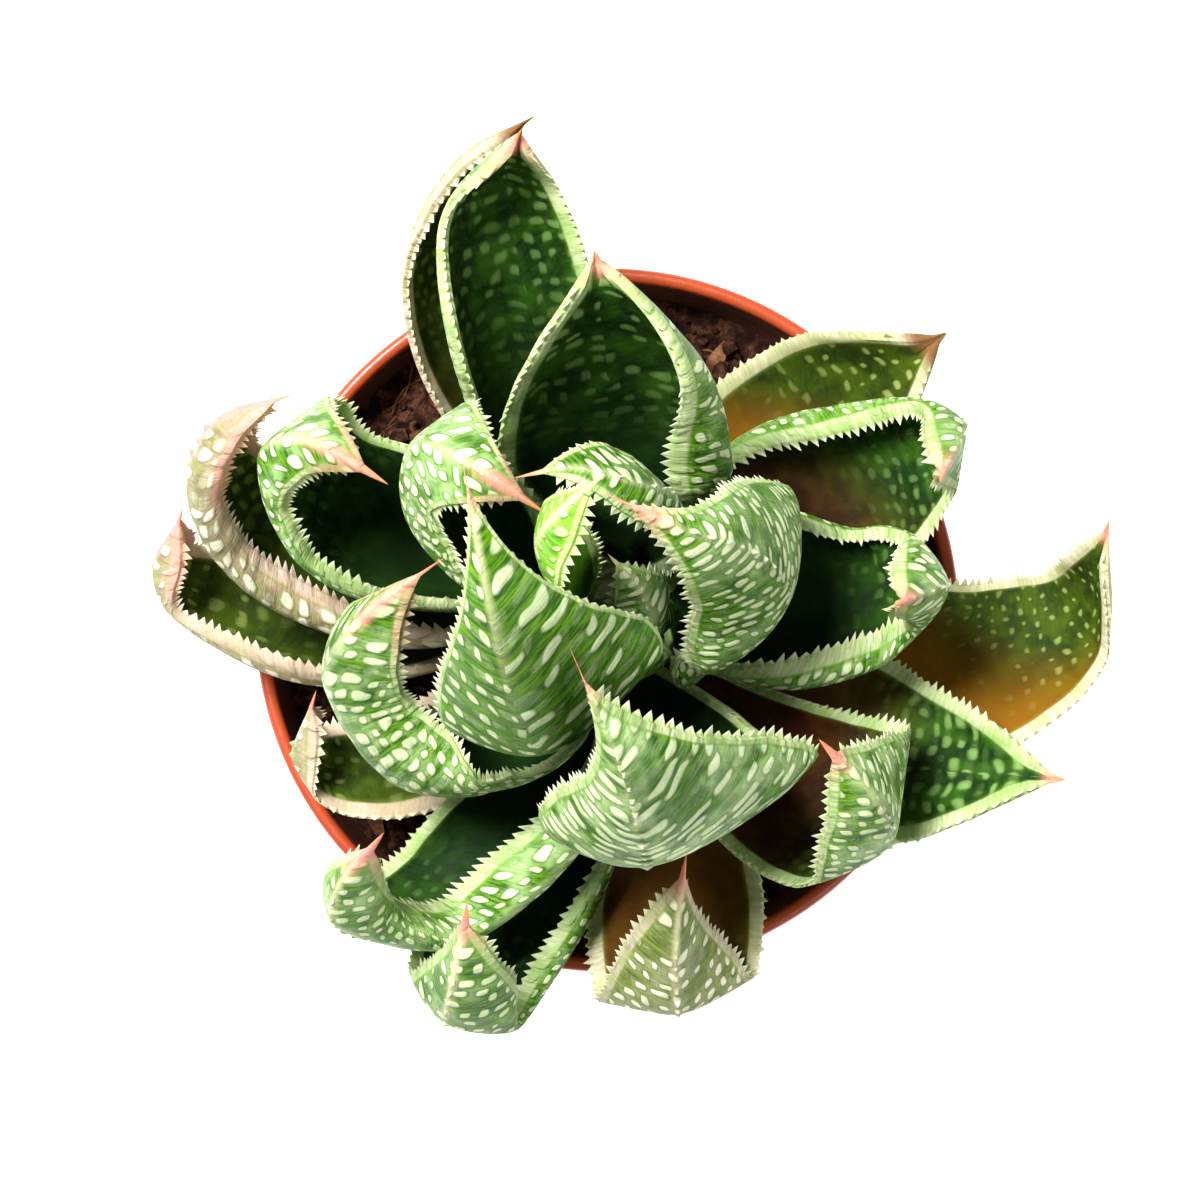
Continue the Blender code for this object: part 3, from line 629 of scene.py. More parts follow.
leaves = {
    "leaf_heart_west": dict(
        root=(-178, 46), keel=[(-8, 7, 64), (-11, 11, 80), (-6, 16, 90), (-2, 19, 93)], width=28,
        halves=(0.6, 0.6), faces=(2, 3, 50), roll=(10, 0), fold=(20, 50, 30, 40), rootWidth=(0.12, 0.12),
        widest=0.62, thick=3.5,
        material="youngLeaf", fleck=(3.0, 2.8, 0.36), keelTeeth=False, band=0.9, spine=2.0, tipTint=0.0,
        bloom=0.2, ridge=0.9),
    "leaf_heart_east": dict(
        root=(-18, 44), keel=[(8, -2, 53), (6, 3, 63), (3, 7, 67), (1, 9, 65)], width=24,
        halves=(0.7, 0.9), fold=(30, 70, 30, 60), widest=0.55, thick=3.5,
        fleck=(4.5, 2.6, 0.5), keelTeeth=False, band=0.8, spine=2.0, tipTint=0.1),
    "leaf_heart_north": dict(
        root=(66, 36), keel=[(8, 15, 46), (11, 19, 60), (5, 20, 72), (-5, 22, 77), (-10, 21, 77)],
        width=34, halves=(1, 0.5), faces=(2, 8, 40), fold=(25, 70, 30, 45), blunt=1.9, thick=4.5,
        fleck=(3.6, 2.6, 0.48), band=1.3, tipFrom=0.96, tipTint=0.5),
    "leaf_inner_front": dict(
        root=(-95, 40), keel=[(-5, -14, 43), (-9, -21, 58), (-13, -12, 78), (-16, 3, 92), (-19, 20, 95)],
        width=46, halves=(1.45, 0.8), faces=(-8, 6, 40), roll=(-5, -5), fold=(25, 60, 45, 60), blunt=1.6,
        taper=1.6,
        fleck=(9.5, 4.6, 0.4), fleckSides=(1, 0.34), toothSides=(0.35, 1.1), keelTeeth=False, band=0.7,
        spine=4.0, tipFrom=0.92, tipTint=1.0, bloom=0.08, ridge=0.7),
    "leaf_inner_west": dict(
        root=(160, 36), keel=[(-20, 8, 36), (-32, 17, 54), (-28, 26, 72), (-17, 21, 81), (-11, 17, 78)],
        width=48, halves=(1, 0.97), faces=(-6, 6, 30), roll=(5, 0), fold=(35, 85, 45, 60), blunt=1.7,
        fleck=(3.6, 3.8, 0.48), keelTeeth=False, band=1.4, tipFrom=0.86, bloom=0.75),
    "leaf_inner_east": dict(
        root=(8, 34), keel=[(19, 1, 31), (29, 2, 46), (22, 10, 68), (11, 13, 78), (2, 17, 78)], width=48,
        halves=(1.1, 1.22), faces=(6, 10, 20), roll=(-20, 4), fold=(10, 110, 45, 60),
        rootWidth=(0.05, 0.03), widest=0.38, blunt=1.5, taper=1.25,
        fleck=(3.9, 2.4, 0.5), band=1.7, tipFrom=0.88, bloom=0.55, ridge=0.3),
    "leaf_inner_south": dict(
        root=(-82, 30), keel=[(7, -25, 28), (6, -38, 43), (5, -35, 61), (2, -21, 81), (-4, -6, 88)],
        width=52, halves=(1.64, 0.9), faces=(6, -2, 10), roll=(-12, 8), fold=(12, 105, 45, 60),
        rootWidth=(0.0, 0.07), widest=0.53, blunt=1.5, taper=1.7,
        fleck=(6.6, 3.0, 0.52), band=1.6, spine=4.5, tipTint=1.0, bloom=0.85, ridge=0.3),
    "leaf_inner_southwest": dict(
        root=(-143, 30), keel=[(-16, -24, 18), (-33, -28, 29), (-44, -10, 46), (-35, 2, 61), (-26, 8, 64)],
        width=52, halves=(1.1, 1), faces=(-10, 0, 20), roll=(10, 5), fold=(25, 110, 45, 65),
        rootWidth=(0.15, 0.15), blunt=1.9, taper=1.3,
        fleck=(4.2, 3.8, 0.5), keelTeeth=False, band=1.4, tipFrom=0.82, bloom=0.6, ridge=0.7),
    "leaf_middle_west": dict(
        root=(168, 25), keel=[(-31, 11, 18), (-51, 17, 30), (-54, 26, 46), (-44, 27, 58), (-35, 22, 57)],
        width=52, halves=(0.87, 1.2), faces=(2, 3, 30), fold=(25, 115, 45, 60), curl=(30, 0),
        fleck=(3.8, 4.2, 0.42), keelTeeth=False, band=1.9, tipFrom=0.86, bloom=1.0, ridge=0.8),
    "leaf_middle_north": dict(
        root=(92, 26), keel=[(0, 24, 22), (-1, 43, 44), (-2, 53, 66)], width=50, halves=(0.88, 1.75),
        faces=(2, -10, 90), roll=(-5, -5), fold=(15, 60, 30, 50), curl=(0, 125), rootWidth=(0.15, 0.15),
        blunt=2.3,
        spine=1.0, tipFrom=0.94),
    "leaf_middle_east": dict(
        root=(-4, 24), keel=[(25, 3, 15), (46, 3, 22), (54, 6, 36), (44, 3, 52)], width=60,
        halves=(1, 1.05), faces=(10, 3, 40), fold=(15, 95, 45, 70), curl=(40, 70), rootWidth=(0.12, 0.35),
        widest=0.36,
        spine=2.4, tipFrom=0.9, bloom=0.7),
    "leaf_middle_southeast": dict(
        root=(-47, 17), keel=[(17, -18, 10), (34, -33, 19), (45, -36, 33), (41, -27, 50), (33, -19, 56)],
        width=46, halves=(1.25, 0.95), faces=(10, -10, 30), fold=(20, 90, 45, 60), rootWidth=(0.12, 0.12),
        widest=0.55,
        fleck=(3.4, 2.8, 0.46), band=1.6, tipTint=1.0, bloom=0.9, rustAndShade=1.0, warmTo=0.7),
    "leaf_middle_southwest": dict(
        root=(-125, 17),
        keel=[(-13, -34, 8), (-31, -52, 17), (-43, -49, 32), (-41, -40, 47), (-35, -33, 53)], width=54,
        halves=(1.3, 0.72), faces=(-10, -10, 30), fold=(15, 105, 45, 65), curl=(90, 0),
        rootWidth=(0.4, 0.4), widest=0.4,
        fleck=(3.8, 3.6, 0.42), band=1.8, tipFrom=0.9, tipTint=1.0, bloom=0.8, ridge=0.9),
    "leaf_outer_north": dict(
        root=(106, 16), keel=[(-5, 30, 8), (-14, 56, 27), (-16, 72, 43), (-13, 73, 54)], width=44,
        halves=(1.27, 0.78), faces=(2, -10, 90), fold=(20, 75, 40, 65), curl=(45, 0), blunt=4.0,
        spine=1.0, tipFrom=0.9),
    "leaf_outer_west": dict(
        root=(164, 15), keel=[(-38, 3, 5), (-61, 11, 16), (-67, 22, 32), (-59, 32, 45), (-49, 34, 49)],
        width=46, halves=(1, 1.2), fold=(20, 100, 45, 60), curl=(90, 0),
        material="oldLeaf", fleck=(3.8, 4.6, 0.5), band=1.8, spine=2.0, tipFrom=0.72, tipTint=1.0,
        blush=1.0),
    "leaf_outer_northeast": dict(
        root=(28, 13), keel=[(28, 25, 3), (48, 32, 16), (57, 32, 31), (51, 22, 44)], width=46,
        halves=(1, 1.3), faces=(10, 3, 40), fold=(15, 90, 45, 60), curl=(70, 0),
        fleck=(3.6, 2.9, 0.42), spine=1.6, tipFrom=0.9, rustAndShade=0.9, warmTo=0.58, warmSide=0.2),
    "leaf_outer_southeast": dict(
        root=(-30, 11), keel=[(26, -14, 2), (52, -25, 13), (71, -25, 30)], width=42, halves=(1, 0.9),
        faces=(2, 3, 80), fold=(10, 45, 30, 55), blunt=2.5,
        spine=1.6, tipFrom=0.96, rustAndShade=0.6, amber=0.3, warmTo=0.75),
    "leaf_outer_southwest": dict(
        root=(-114, 10),
        keel=[(-9, -29, -4), (-22, -56, 4), (-27, -67, 15), (-24, -54, 37), (-22, -45, 43)], width=41,
        halves=(1.45, 0.8), faces=(0, -20, 30), fold=(15, 70, 35, 45), curl=(90, 0),
        fleck=(3.4, 3.6, 0.43), band=1.6, tipTint=1.0, ridge=1.0),
    "leaf_lowest_north": dict(
        root=(122, 6), keel=[(-17, 38, -6), (-28, 63, 12), (-23, 74, 30), (-12, 78, 38)], width=40,
        faces=(2, 3, 60), fold=(15, 90, 45, 80), curl=(10, 30),
        material="oldLeaf", spine=1.2, tipTint=0.0, blush=0.5, rustAndShade=0.4, dryTip=1.0),
    "leaf_lowest_northeast": dict(
        root=(38, 6), keel=[(20, 22, -7), (40, 37, 3), (54, 46, 22)], width=42, halves=(0.85, 0.7),
        faces=(2, 3, 80), fold=(10, 45, 30, 55), widest=0.5, blunt=3.2,
        material="oldLeaf", fleck=(3.8, 3.0, 0.38), band=1.7, spine=1.2, tipTint=0.0, rustAndShade=1.0, amber=0.85,
        warmTo=0.72, warmSide=0.2, dryTip=1.0),
    "leaf_lowest_east": dict(
        root=(-6, 4), keel=[(30, -4, -8), (63, -9, 3), (81, 0, 12), (80, 15, 26)], width=44,
        halves=(1, 0.85), faces=(2, 3, 60), fold=(5, 30, 30, 50), blunt=2.2,
        material="oldLeaf", fleck=(2.9, 3.2, 0.3), band=1.4, spine=1.6, tipFrom=0.96, tipTint=1.0,
        rustAndShade=1.0, amber=1.0, warmTo=0.72, warmSide=0.22),
    "leaf_lowest_south": dict(
        root=(-76, 4), keel=[(10, -28, -8), (12, -53, -1), (12, -67, 9), (11, -52, 28), (12, -39, 34)],
        width=40, halves=(1, 0.88), faces=(5, -20, 20), fold=(5, 45, 45, 60), rootWidth=(0.15, 0.15),
        widest=0.55,
        material="oldLeaf", fleck=(3.2, 3.9, 0.42), band=1.6, tipTint=1.0, ridge=1.0, rustAndShade=0.85,
        amber=0.22, warmTo=0.8, warmSide=0.1),
    "leaf_lowest_southwest": dict(
        root=(-142, 4), keel=[(-20, -16, -7), (-40, -26, 0), (-53, -24, 7), (-48, -13, 20)], width=36,
        halves=(0.8, 0.68), fold=(10, 50, 45, 60), rootWidth=(0.15, 0.15), widest=0.6,
        material="oldLeaf", blush=0.7),
    "leaf_lowest_west": dict(
        root=(174, 4), keel=[(-31, 0, -7), (-57, -2, 3), (-75, 7, 14), (-68, 17, 28)], width=40,
        halves=(1.05, 0.92), fold=(10, 60, 45, 60), curl=(70, 0), rootWidth=(0.15, 0.15), widest=0.55,
        material="oldLeaf", fleck=(3.4, 4.4, 0.42), spine=2.0, tipFrom=0.8, tipTint=1.0, blush=0.8),
}


def between(lowValue, highValue, low, high, at):
    return lowValue + (highValue - lowValue) * (at - low) / (high - low)


def curveThrough(points):
    # evenly spaced points on the centripetal Catmull-Rom curve through the given ones
    points = np.array(points, float)
    points = np.vstack([2 * points[0] - points[1], points, 2 * points[-1] - points[-2]])
    spans = np.sqrt(np.linalg.norm(np.diff(points, axis=0), axis=1))
    knots = np.concatenate([[0], np.cumsum(spans)])
    fine = []
    for i in range(1, len(points) - 2):
        p = points[i - 1:i + 3]
        t = knots[i - 1:i + 3]
        for at in np.linspace(t[1], t[2], blade["curveSteps"], endpoint=False):
            a = [between(p[k], p[k + 1], t[k], t[k + 1], at) for k in range(3)]
            b = [between(a[k], a[k + 1], t[k], t[k + 2], at) for k in range(2)]
            fine.append(between(b[0], b[1], t[1], t[2], at))
    fine = np.array(fine + [points[-2]])
    run = np.concatenate([[0], np.cumsum(np.linalg.norm(np.diff(fine, axis=0), axis=1))])
    even = np.linspace(0, run[-1], blade["spineSteps"] + 1)
    return np.stack([np.interp(even, run, fine[:, axis]) for axis in range(3)], -1), run[-1]


def smoothed(rows, passes):
    for _ in range(passes):
        first = (2 * rows[0] + rows[1]) / 3
        last = (2 * rows[-1] + rows[-2]) / 3
        rows = np.vstack([first, (rows[:-2] + 2 * rows[1:-1] + rows[2:]) / 4, last])
    return rows


def unit(rows):
    return rows / np.linalg.norm(rows, axis=-1)[..., None]


def dot(a, b):
    return (a * b).sum(-1)


def leafRun(leaf, out):
    # the keel and the directions that its cross sections stand on, for a root that far out from the axis
    turn = radians(leaf["root"][0])
    stemX, stemY = plant["stem"]
    root = (stemX + out * cos(turn), stemY + out * sin(turn), plant["soil"] + leaf["root"][1])
    keel = [root] + [(x, y, plant["rim"] + z) for x, y, z in leaf["keel"]]
    path, length = curveThrough(keel)
    ends = path[[0, -1]]
    path = smoothed(path, blade["pathPasses"])
    path[[0, -1]] = ends
    along = unit(smoothed(unit(np.gradient(path, axis=0)), blade["framePasses"]))
    x, y, z = leaf["faces"]
    focus = unit(np.array([x, y, plant["rim"] + z]) - path)
    stem = unit(np.array([(stemX, stemY, height + blade["rootLift"]) for height in path[:, 2]]) - path)
    steps = blade["spineSteps"] + 1
    share = np.clip(np.linspace(0, 1, steps) / blade["rootShare"], 0, 1)[:, None]
    share = share * share * (3 - 2 * share)
    inward = share * focus + (1 - share) * stem
    inward = unit(inward - dot(inward, along)[:, None] * along)
    side = np.cross(inward, along)
    roll = np.radians(np.linspace(*leaf["roll"], steps))[:, None]
    turned = np.cos(roll) * inward + np.sin(roll) * side
    side = np.cos(roll) * side - np.sin(roll) * inward
    travel = dot(np.gradient(path, axis=0), along)
    turning = np.gradient(along, axis=0)
    return {
        "leaf": leaf, "length": length, "path": path, "along": along, "inward": turned, "side": side,
        "bendIn": dot(turning, turned) / travel, "bendSide": dot(turning, side) / travel,
    }


def readRows(rows, share):
    at = np.clip(share * blade["spineSteps"], 0, blade["spineSteps"] - 1e-6)
    low = at.astype(int)
    part = at - low
    if rows.ndim > 1:
        part = part[..., None]
    return rows[low] * (1 - part) + rows[low + 1] * part


def halfWidth(leaf, share, column):
    widest = leaf["widest"]
    root = np.where(column > 0, leaf["rootWidth"][0], leaf["rootWidth"][1])
    rising = partWay(root, 1, np.sin(pi / 2 * np.minimum(share / widest, 1)))
    falling = (1 - np.clip((share - widest) / (1 - widest), 0, 1) ** leaf["blunt"]) ** leaf["taper"]
    side = np.where(column > 0, leaf["halves"][0], leaf["halves"][1])
    return leaf["width"] / 2 * np.where(share < widest, rising, falling) * side


def skinPoints(run, share, column, inner, rounded=False):
    # points of the back or of the inner face in mm, for arrays of shares of the length and of the width
    leaf = run["leaf"]
    share, column = np.broadcast_arrays(np.asarray(share, float), np.asarray(column, float))
    half = halfWidth(leaf, share, column)
    out = np.abs(column)
    keel, margin, keelTip, marginTip = np.radians(leaf["fold"])
    curl = np.radians(np.where(column > 0, leaf["curl"][0], leaf["curl"][1])) * 4 * share * (1 - share)
    keel = partWay(keel, keelTip, share)
    margin = partWay(margin, marginTip, share) + curl
    at = (np.arange(blade["foldSteps"]) + 0.5) / blade["foldSteps"] * out[..., None]
    slope = partWay(keel[..., None], margin[..., None], at ** blade["foldPower"])
    across = np.cos(slope).mean(-1) * out * half
    up = np.sin(slope).mean(-1) * out * half
    if rounded:
        start, over = blade["roundRun"]
        radius = partWay(blade["tipRound"], blade["rootRound"], np.clip((start - share) / over, 0, 1))
        radius = np.minimum(radius, blade["mostRound"] * half)
        up = np.hypot(up, radius) - radius / 2
    if inner:
        root = partWay(blade["rootThickness"], 1, np.minimum(share / blade["fullThicknessAt"], 1))
        most = blade["mostThickness"] * half
        thick = np.minimum(leaf["thick"] * (1 - blade["tipThinning"] * share) * root, most)
        edge = np.minimum(blade["edge"], most)
        thick = partWay(thick, edge, out ** blade["edgePower"])
        tilt = partWay(keel, margin, out ** blade["foldPower"]) * np.minimum(1.5 * out, 1)
        across = across - thick * np.sin(tilt)
        up = up + thick * np.cos(tilt)
    across = across * np.sign(column)
    up = up / (1 + np.maximum(up * readRows(run["bendIn"], share), 0))
    across = across / (1 + np.maximum(across * readRows(run["bendSide"], share), 0))
    return (readRows(run["path"], share) + across[..., None] * readRows(run["side"], share)
            + up[..., None] * readRows(run["inward"], share))


def shareWave(along, column, seed):
    # an uneven wave that is stronger at the margins
    turn = 2 * pi / blade["waveLength"]
    first = np.sin(turn * along + 2.3 * seed + 1.5 * column)
    second = np.sin(turn * 0.43 * along - 1.7 * seed + 2.8 * column)
    return (0.6 * first + 0.8 * second) * (0.35 + 0.65 * np.abs(column))


def seatedRun(leaf):
    # the root is moved out from the stem's axis until it stands just off the stem
    out = plant["stemRadius"]
    share = np.linspace(0, blade["rootShare"], 8)[:, None]
    for _ in range(blade["seatingPasses"]):
        run = leafRun(leaf, out)
        least = []
        for places, onFace in ((blade["seatingBack"], False), (blade["seatingFace"], True)):
            grid = skinPoints(run, share, np.array(places)[None, :], onFace)
            grid = np.concatenate([grid, (grid[:, 1:] + grid[:, :-1]) / 2], axis=1)
            away = np.hypot(grid[..., 0] - plant["stem"][0], grid[..., 1] - plant["stem"][1])
            rise = np.clip((grid[..., 2] - plant["soil"]) / plant["stemLength"], 0, 1)
            stem = partWay(plant["stemRadius"], plant["stemTopRadius"], rise)
            least.append((away - stem).min())
        out += plant["gap"] + 0.1 - min(least)
    return run


def lengthRows(length, draw):
    # shares of the length, with the two ends of each tooth's base, and which rows start a tooth
    rows = list(np.linspace(0, teeth["first"], 8)[:-1])
    starts = []
    at = teeth["first"] * length
    while at < teeth["last"] * length:
        share = at / length
        pitch = partWay(teeth["rootPitch"], teeth["tipPitch"], share) * draw.uniform(*teeth["pitchDraw"])
        starts.append(len(rows))
        rows += [share, share + pitch * teeth["baseShare"] / length]
        at += pitch
    return np.array(rows + list(teeth["tipRows"])), np.array(starts)


# one ring of points goes across the back, round a margin, across the inner face and round the other margin
backs = np.linspace(-1, 1, blade["backColumns"])
fronts = np.linspace(1, -1, blade["faceColumns"])
columns = np.concatenate([backs, [1, 1], fronts, [-1, -1, -1]])
inner = np.concatenate([np.zeros(len(backs)), [1 / 3, 2 / 3], np.ones(len(fronts)), [2 / 3, 1 / 3, 0]])
wrap = len(columns) - 1
keelColumn = len(backs) // 2 - 1
spineShares = np.array([part for part, width in teeth["spineRings"]])


def leafGrid(run, rows, seed):
    # the rings of points in millimetres, and the way out of the leaf at each point
    share = rows[:, None]
    back = skinPoints(run, share, columns[None, :], False, True)
    front = skinPoints(run, share, columns[None, :], True, True)
    near = skinPoints(run, share, columns[None, :] * 0.9, False, True)
    outward = unit(back - near + 1e-9)
    half = halfWidth(run["leaf"], *np.broadcast_arrays(share, columns[None, :]))
    bulge = np.minimum(blade["edgeBulge"], blade["mostBulge"] * half) * np.sin(pi * inner)
    grid = back * (1 - inner)[None, :, None] + front * inner[None, :, None] + outward * bulge[..., None]
    wave = shareWave(share * run["length"], columns[None, :], seed) * blade["wave"]
    wave = wave * np.clip(share / blade["waveFade"], 0, 1) * np.clip((1 - share) / blade["waveFade"], 0, 1)
    return grid + wave[..., None] * readRows(run["inward"], share), outward


def spineGrid(run, ring):
    # the terminal spine: rings that narrow to a point
    last = run["path"][-1]
    point = last + unit(last - run["path"][-5]) * run["leaf"]["spine"]
    middle = ring[:-1].mean(0)
    reach = np.linalg.norm(ring - middle, axis=1).max()
    rings = []
    for part, width in teeth["spineRings"]:
        size = width * min(teeth["spineRadius"] / reach, 1)
        rings.append(middle + (point - middle) * part + (ring - middle) * size)
    return np.array(rings)


def storeLooks(mesh, run, rows, seed):
    # what the leaf material reads at each point
    leaf = run["leaf"]
    shares = np.concatenate([rows, 0.99 + 0.01 * spineShares])
    share, column = np.broadcast_arrays(shares[:, None], columns[None, :])
    half = np.maximum(halfWidth(leaf, share, column), blade["leastHalf"])
    band = np.minimum(leaf["band"], blade["bandShare"] * half)
    face = np.broadcast_to(inner[None, :], share.shape)
    flat = np.ones(share.shape)
    spine = np.concatenate([np.zeros(len(rows)), partWay(*teeth["spineTone"], spineShares)])
    skin = np.stack([column * half, share * run["length"], flat * seed * blade["patternsApart"]], -1)
    addValues(mesh, "skin", skin, "FLOAT_VECTOR", "vector")
    looks = {
        "edge": (1 - np.abs(column)) * half / band, "run": share, "inner": face,
        "keelLine": np.clip(1 - np.abs(column) * half / blade["keelLine"], 0, 1) * (face < 0.1),
        "warmTo": leaf["warmTo"] - leaf["warmSide"] * column, "spine": flat * spine[:, None],
        "fleckLength": np.where(column > 0, *leaf["fleckSides"]) * leaf["fleck"][0],
        "fleckPitch": flat * leaf["fleck"][1], "fleckFill": flat * leaf["fleck"][2],
    }
    for name in ("tipFrom", "bloom", "ridge", "blush", "rustAndShade", "amber", "tipTint", "dryTip"):
        looks[name] = flat * leaf[name]
    for name, values in looks.items():
        addValues(mesh, name, values)


def matchTips(tips, coords, corners):
    # poke may order its new points differently from the faces, so each face finds its own middle
    middles = coords[corners].mean(1)
    return np.array([np.argmin(((tips - middle) ** 2).sum(1)) for middle in middles])


def growTeeth(mesh, run, rows, starts, outward, draw):
    # teeth stand on the middle strip of each margin, and smaller ones along the keel of the upper half
    leaf = run["leaf"]
    firstCorners = np.array([polygon.vertices[0] for polygon in mesh.polygons])
    rowOf, columnOf = np.divmod(firstCorners, wrap + 1)
    toothed = np.isin(rowOf, starts) & np.isin(columnOf, (len(backs), wrap - 2))
    low, high = teeth["keelRange"]
    keelStarts = starts[(rows[starts] > low) & (rows[starts] < high)][::teeth["keelEvery"]]
    if leaf["keelTeeth"]:
        toothed |= np.isin(rowOf, keelStarts) & (columnOf == keelColumn)
    baseCount = len(mesh.vertices)
    corners = np.array([mesh.polygons[index].vertices[:] for index in np.flatnonzero(toothed)])
    bpy.ops.object.mode_set(mode="EDIT")
    bpy.ops.mesh.select_mode(type="FACE")
    bpy.ops.mesh.select_all(action="DESELECT")
    objectMode()
    mesh.polygons.foreach_set("select", toothed)
    bpy.ops.object.mode_set(mode="EDIT")
    bpy.ops.mesh.poke(offset=0)
    objectMode()

    coords = readCoords(mesh)
    tips = coords[baseCount:]
    order = matchTips(tips, coords, corners)
    seat = corners.min(1)
    seatRow = np.minimum(seat // (wrap + 1), len(rows) - 1)
    seatColumn = seat % (wrap + 1)
    tipShare = rows[seatRow]
    onKeel = seatColumn == keelColumn
    height = partWay(teeth["rootHeight"], teeth["tipHeight"], tipShare)
    height = np.where(onKeel, teeth["keelHeight"], height) * draw.uniform(*teeth["heightDraw"], len(seat))
    height = height * np.where(onKeel, 1, np.where(columns[seatColumn] > 0, *leaf["toothSides"]))
    height = height * np.clip((tipShare - teeth["first"]) / teeth["growOver"], teeth["least"], 1)
    away = np.where(onKeel[:, None], -readRows(run["inward"], tipShare), outward[seatRow, seatColumn])
    lean = readRows(run["along"], tipShare) * teeth["lean"]
    moved = tips.copy()
    moved[order] = tips[order] + (away + lean) * height[:, None] * mm
    coords[baseCount:] = moved
    writeCoords(mesh, coords)
    addValues(mesh, "tooth", np.arange(len(coords)) >= baseCount)


def makeLeaf(name, values, seed):
    leaf = {**leafDefaults, **values}
    draw = np.random.default_rng(seed)
    run = seatedRun(leaf)
    rows, starts = lengthRows(run["length"], draw)
    grid, outward = leafGrid(run, rows, seed)
    grid = np.concatenate([grid, spineGrid(run, grid[-1])])
    deselectAll()
    bpy.ops.mesh.primitive_grid_add(x_subdivisions=wrap, y_subdivisions=len(grid) - 1, size=1)
    piece = bpy.context.object
    writeCoords(piece.data, grid.reshape(-1, 3) * mm)
    storeLooks(piece.data, run, rows, seed)
    growTeeth(piece.data, run, rows, starts, outward, draw)

    # the grid is closed round the leaf and at its root, and smoothed
    editAll()
    bpy.ops.mesh.remove_doubles(threshold=0.00001)
    bpy.ops.mesh.select_all(action="DESELECT")
    bpy.ops.mesh.select_mode(type="VERT")
    bpy.ops.mesh.select_non_manifold()
    bpy.ops.mesh.edge_face_add()
    turnOutwards()
    bpy.ops.object.shade_smooth_by_angle(angle=radians(55))
    kind = leaf["material"]
    finishPiece(piece, name + "_skin", leafMaterials[kind], name)


for number, (leafName, leafValues) in enumerate(leaves.items()):
    makeLeaf(leafName, leafValues, number + 1)
print("leaves made:", len(leaves))


# The pot: thin glossy plastic in clay colour, with a rolled rim, a collar and three moulded lines

pot = {
    "rim": 60.0,
    "height": 92.0,
    "rimWidth": 2.4,
    "collar": 11.0,
    "step": 1.6,
    "foot": 42.5,
    "wall": 1.4,
    "floor": 2.4,
    "lines": (18.0, 46.0, 70.0),    # heights of the moulded lines
    "lineHeight": 0.3,
    "lineShape": ((0.7, 0), (0.35, 0.8), (0, 1), (-0.35, 0.8), (-0.7, 0)),  # place, and share of their height
    "steps": 144,
    "rollSteps": 10,
    "holeRing": 29.0,
    "holeRadius": 4.0,
    "holeCount": 6,
    "colour": (0.43, 0.062, 0.018),
    "dark": (0.28, 0.034, 0.010),
    "wallDark": (0.075, 0.022, 0.012),
    "roughness": 0.3,
    "wallDarkFrom": (0.5, 2.5),       # under the top of the rim, where the inner wall starts to darken
    "mostWallDark": 0.9,
}


def wallRadius(height):
    top = pot["rim"] - pot["step"]
    return pot["foot"] + (top - pot["foot"]) * height / (pot["height"] - pot["collar"])


def potProfile():
    shoulder = pot["height"] - pot["collar"]
    roll = pot["rimWidth"] / 2
    inside = pot["rim"] - pot["rimWidth"]
    wall, step = pot["wall"], pot["step"]
    floor = pot["floor"]
    points = [(0, floor), (wallRadius(floor) - wall - 1, floor), (wallRadius(floor + 1) - wall, floor + 1)]
    points += [(wallRadius(shoulder) - wall, shoulder), (inside, shoulder + step)]
    for turn in np.linspace(pi, 0, pot["rollSteps"] + 1):
        points.append((pot["rim"] - roll + roll * cos(turn), pot["height"] - roll + roll * sin(turn)))
    points += [(pot["rim"] - step / 4, shoulder + 0.5), (pot["rim"] - step / 4 - 0.15, shoulder + 0.15)]
    points += [(pot["rim"] - step / 4 - 0.5, shoulder), (wallRadius(shoulder) + 0.3, shoulder)]
    points += [(wallRadius(shoulder), shoulder - 0.3)]
    for height in reversed(pot["lines"]):
        for away, out in pot["lineShape"]:
            points.append((wallRadius(height + away) + out * pot["lineHeight"], height + away))
    points += [(pot["foot"] + step / 2, step), (pot["foot"] + step / 4, step / 3)]
    return points + [(pot["foot"] - step / 2, 0), (0, 0)]


def spinProfile(points, steps):
    # a circle primitive takes the shape of the profile, which stands in the XZ plane, and is spun about Z
    deselectAll()
    bpy.ops.mesh.primitive_circle_add(vertices=len(points), radius=0.01)
    piece = bpy.context.object
    writeCoords(piece.data, np.array([(radius, 0, height) for radius, height in points]) * mm)
    editAll()
    bpy.ops.mesh.spin(steps=steps, angle=2 * pi, center=(0, 0, 0), axis=(0, 0, 1))
    bpy.ops.mesh.select_all(action="SELECT")
    bpy.ops.mesh.remove_doubles(threshold=0.00002)
    bpy.ops.mesh.dissolve_degenerate(threshold=0.00001)
    turnOutwards()
    return piece


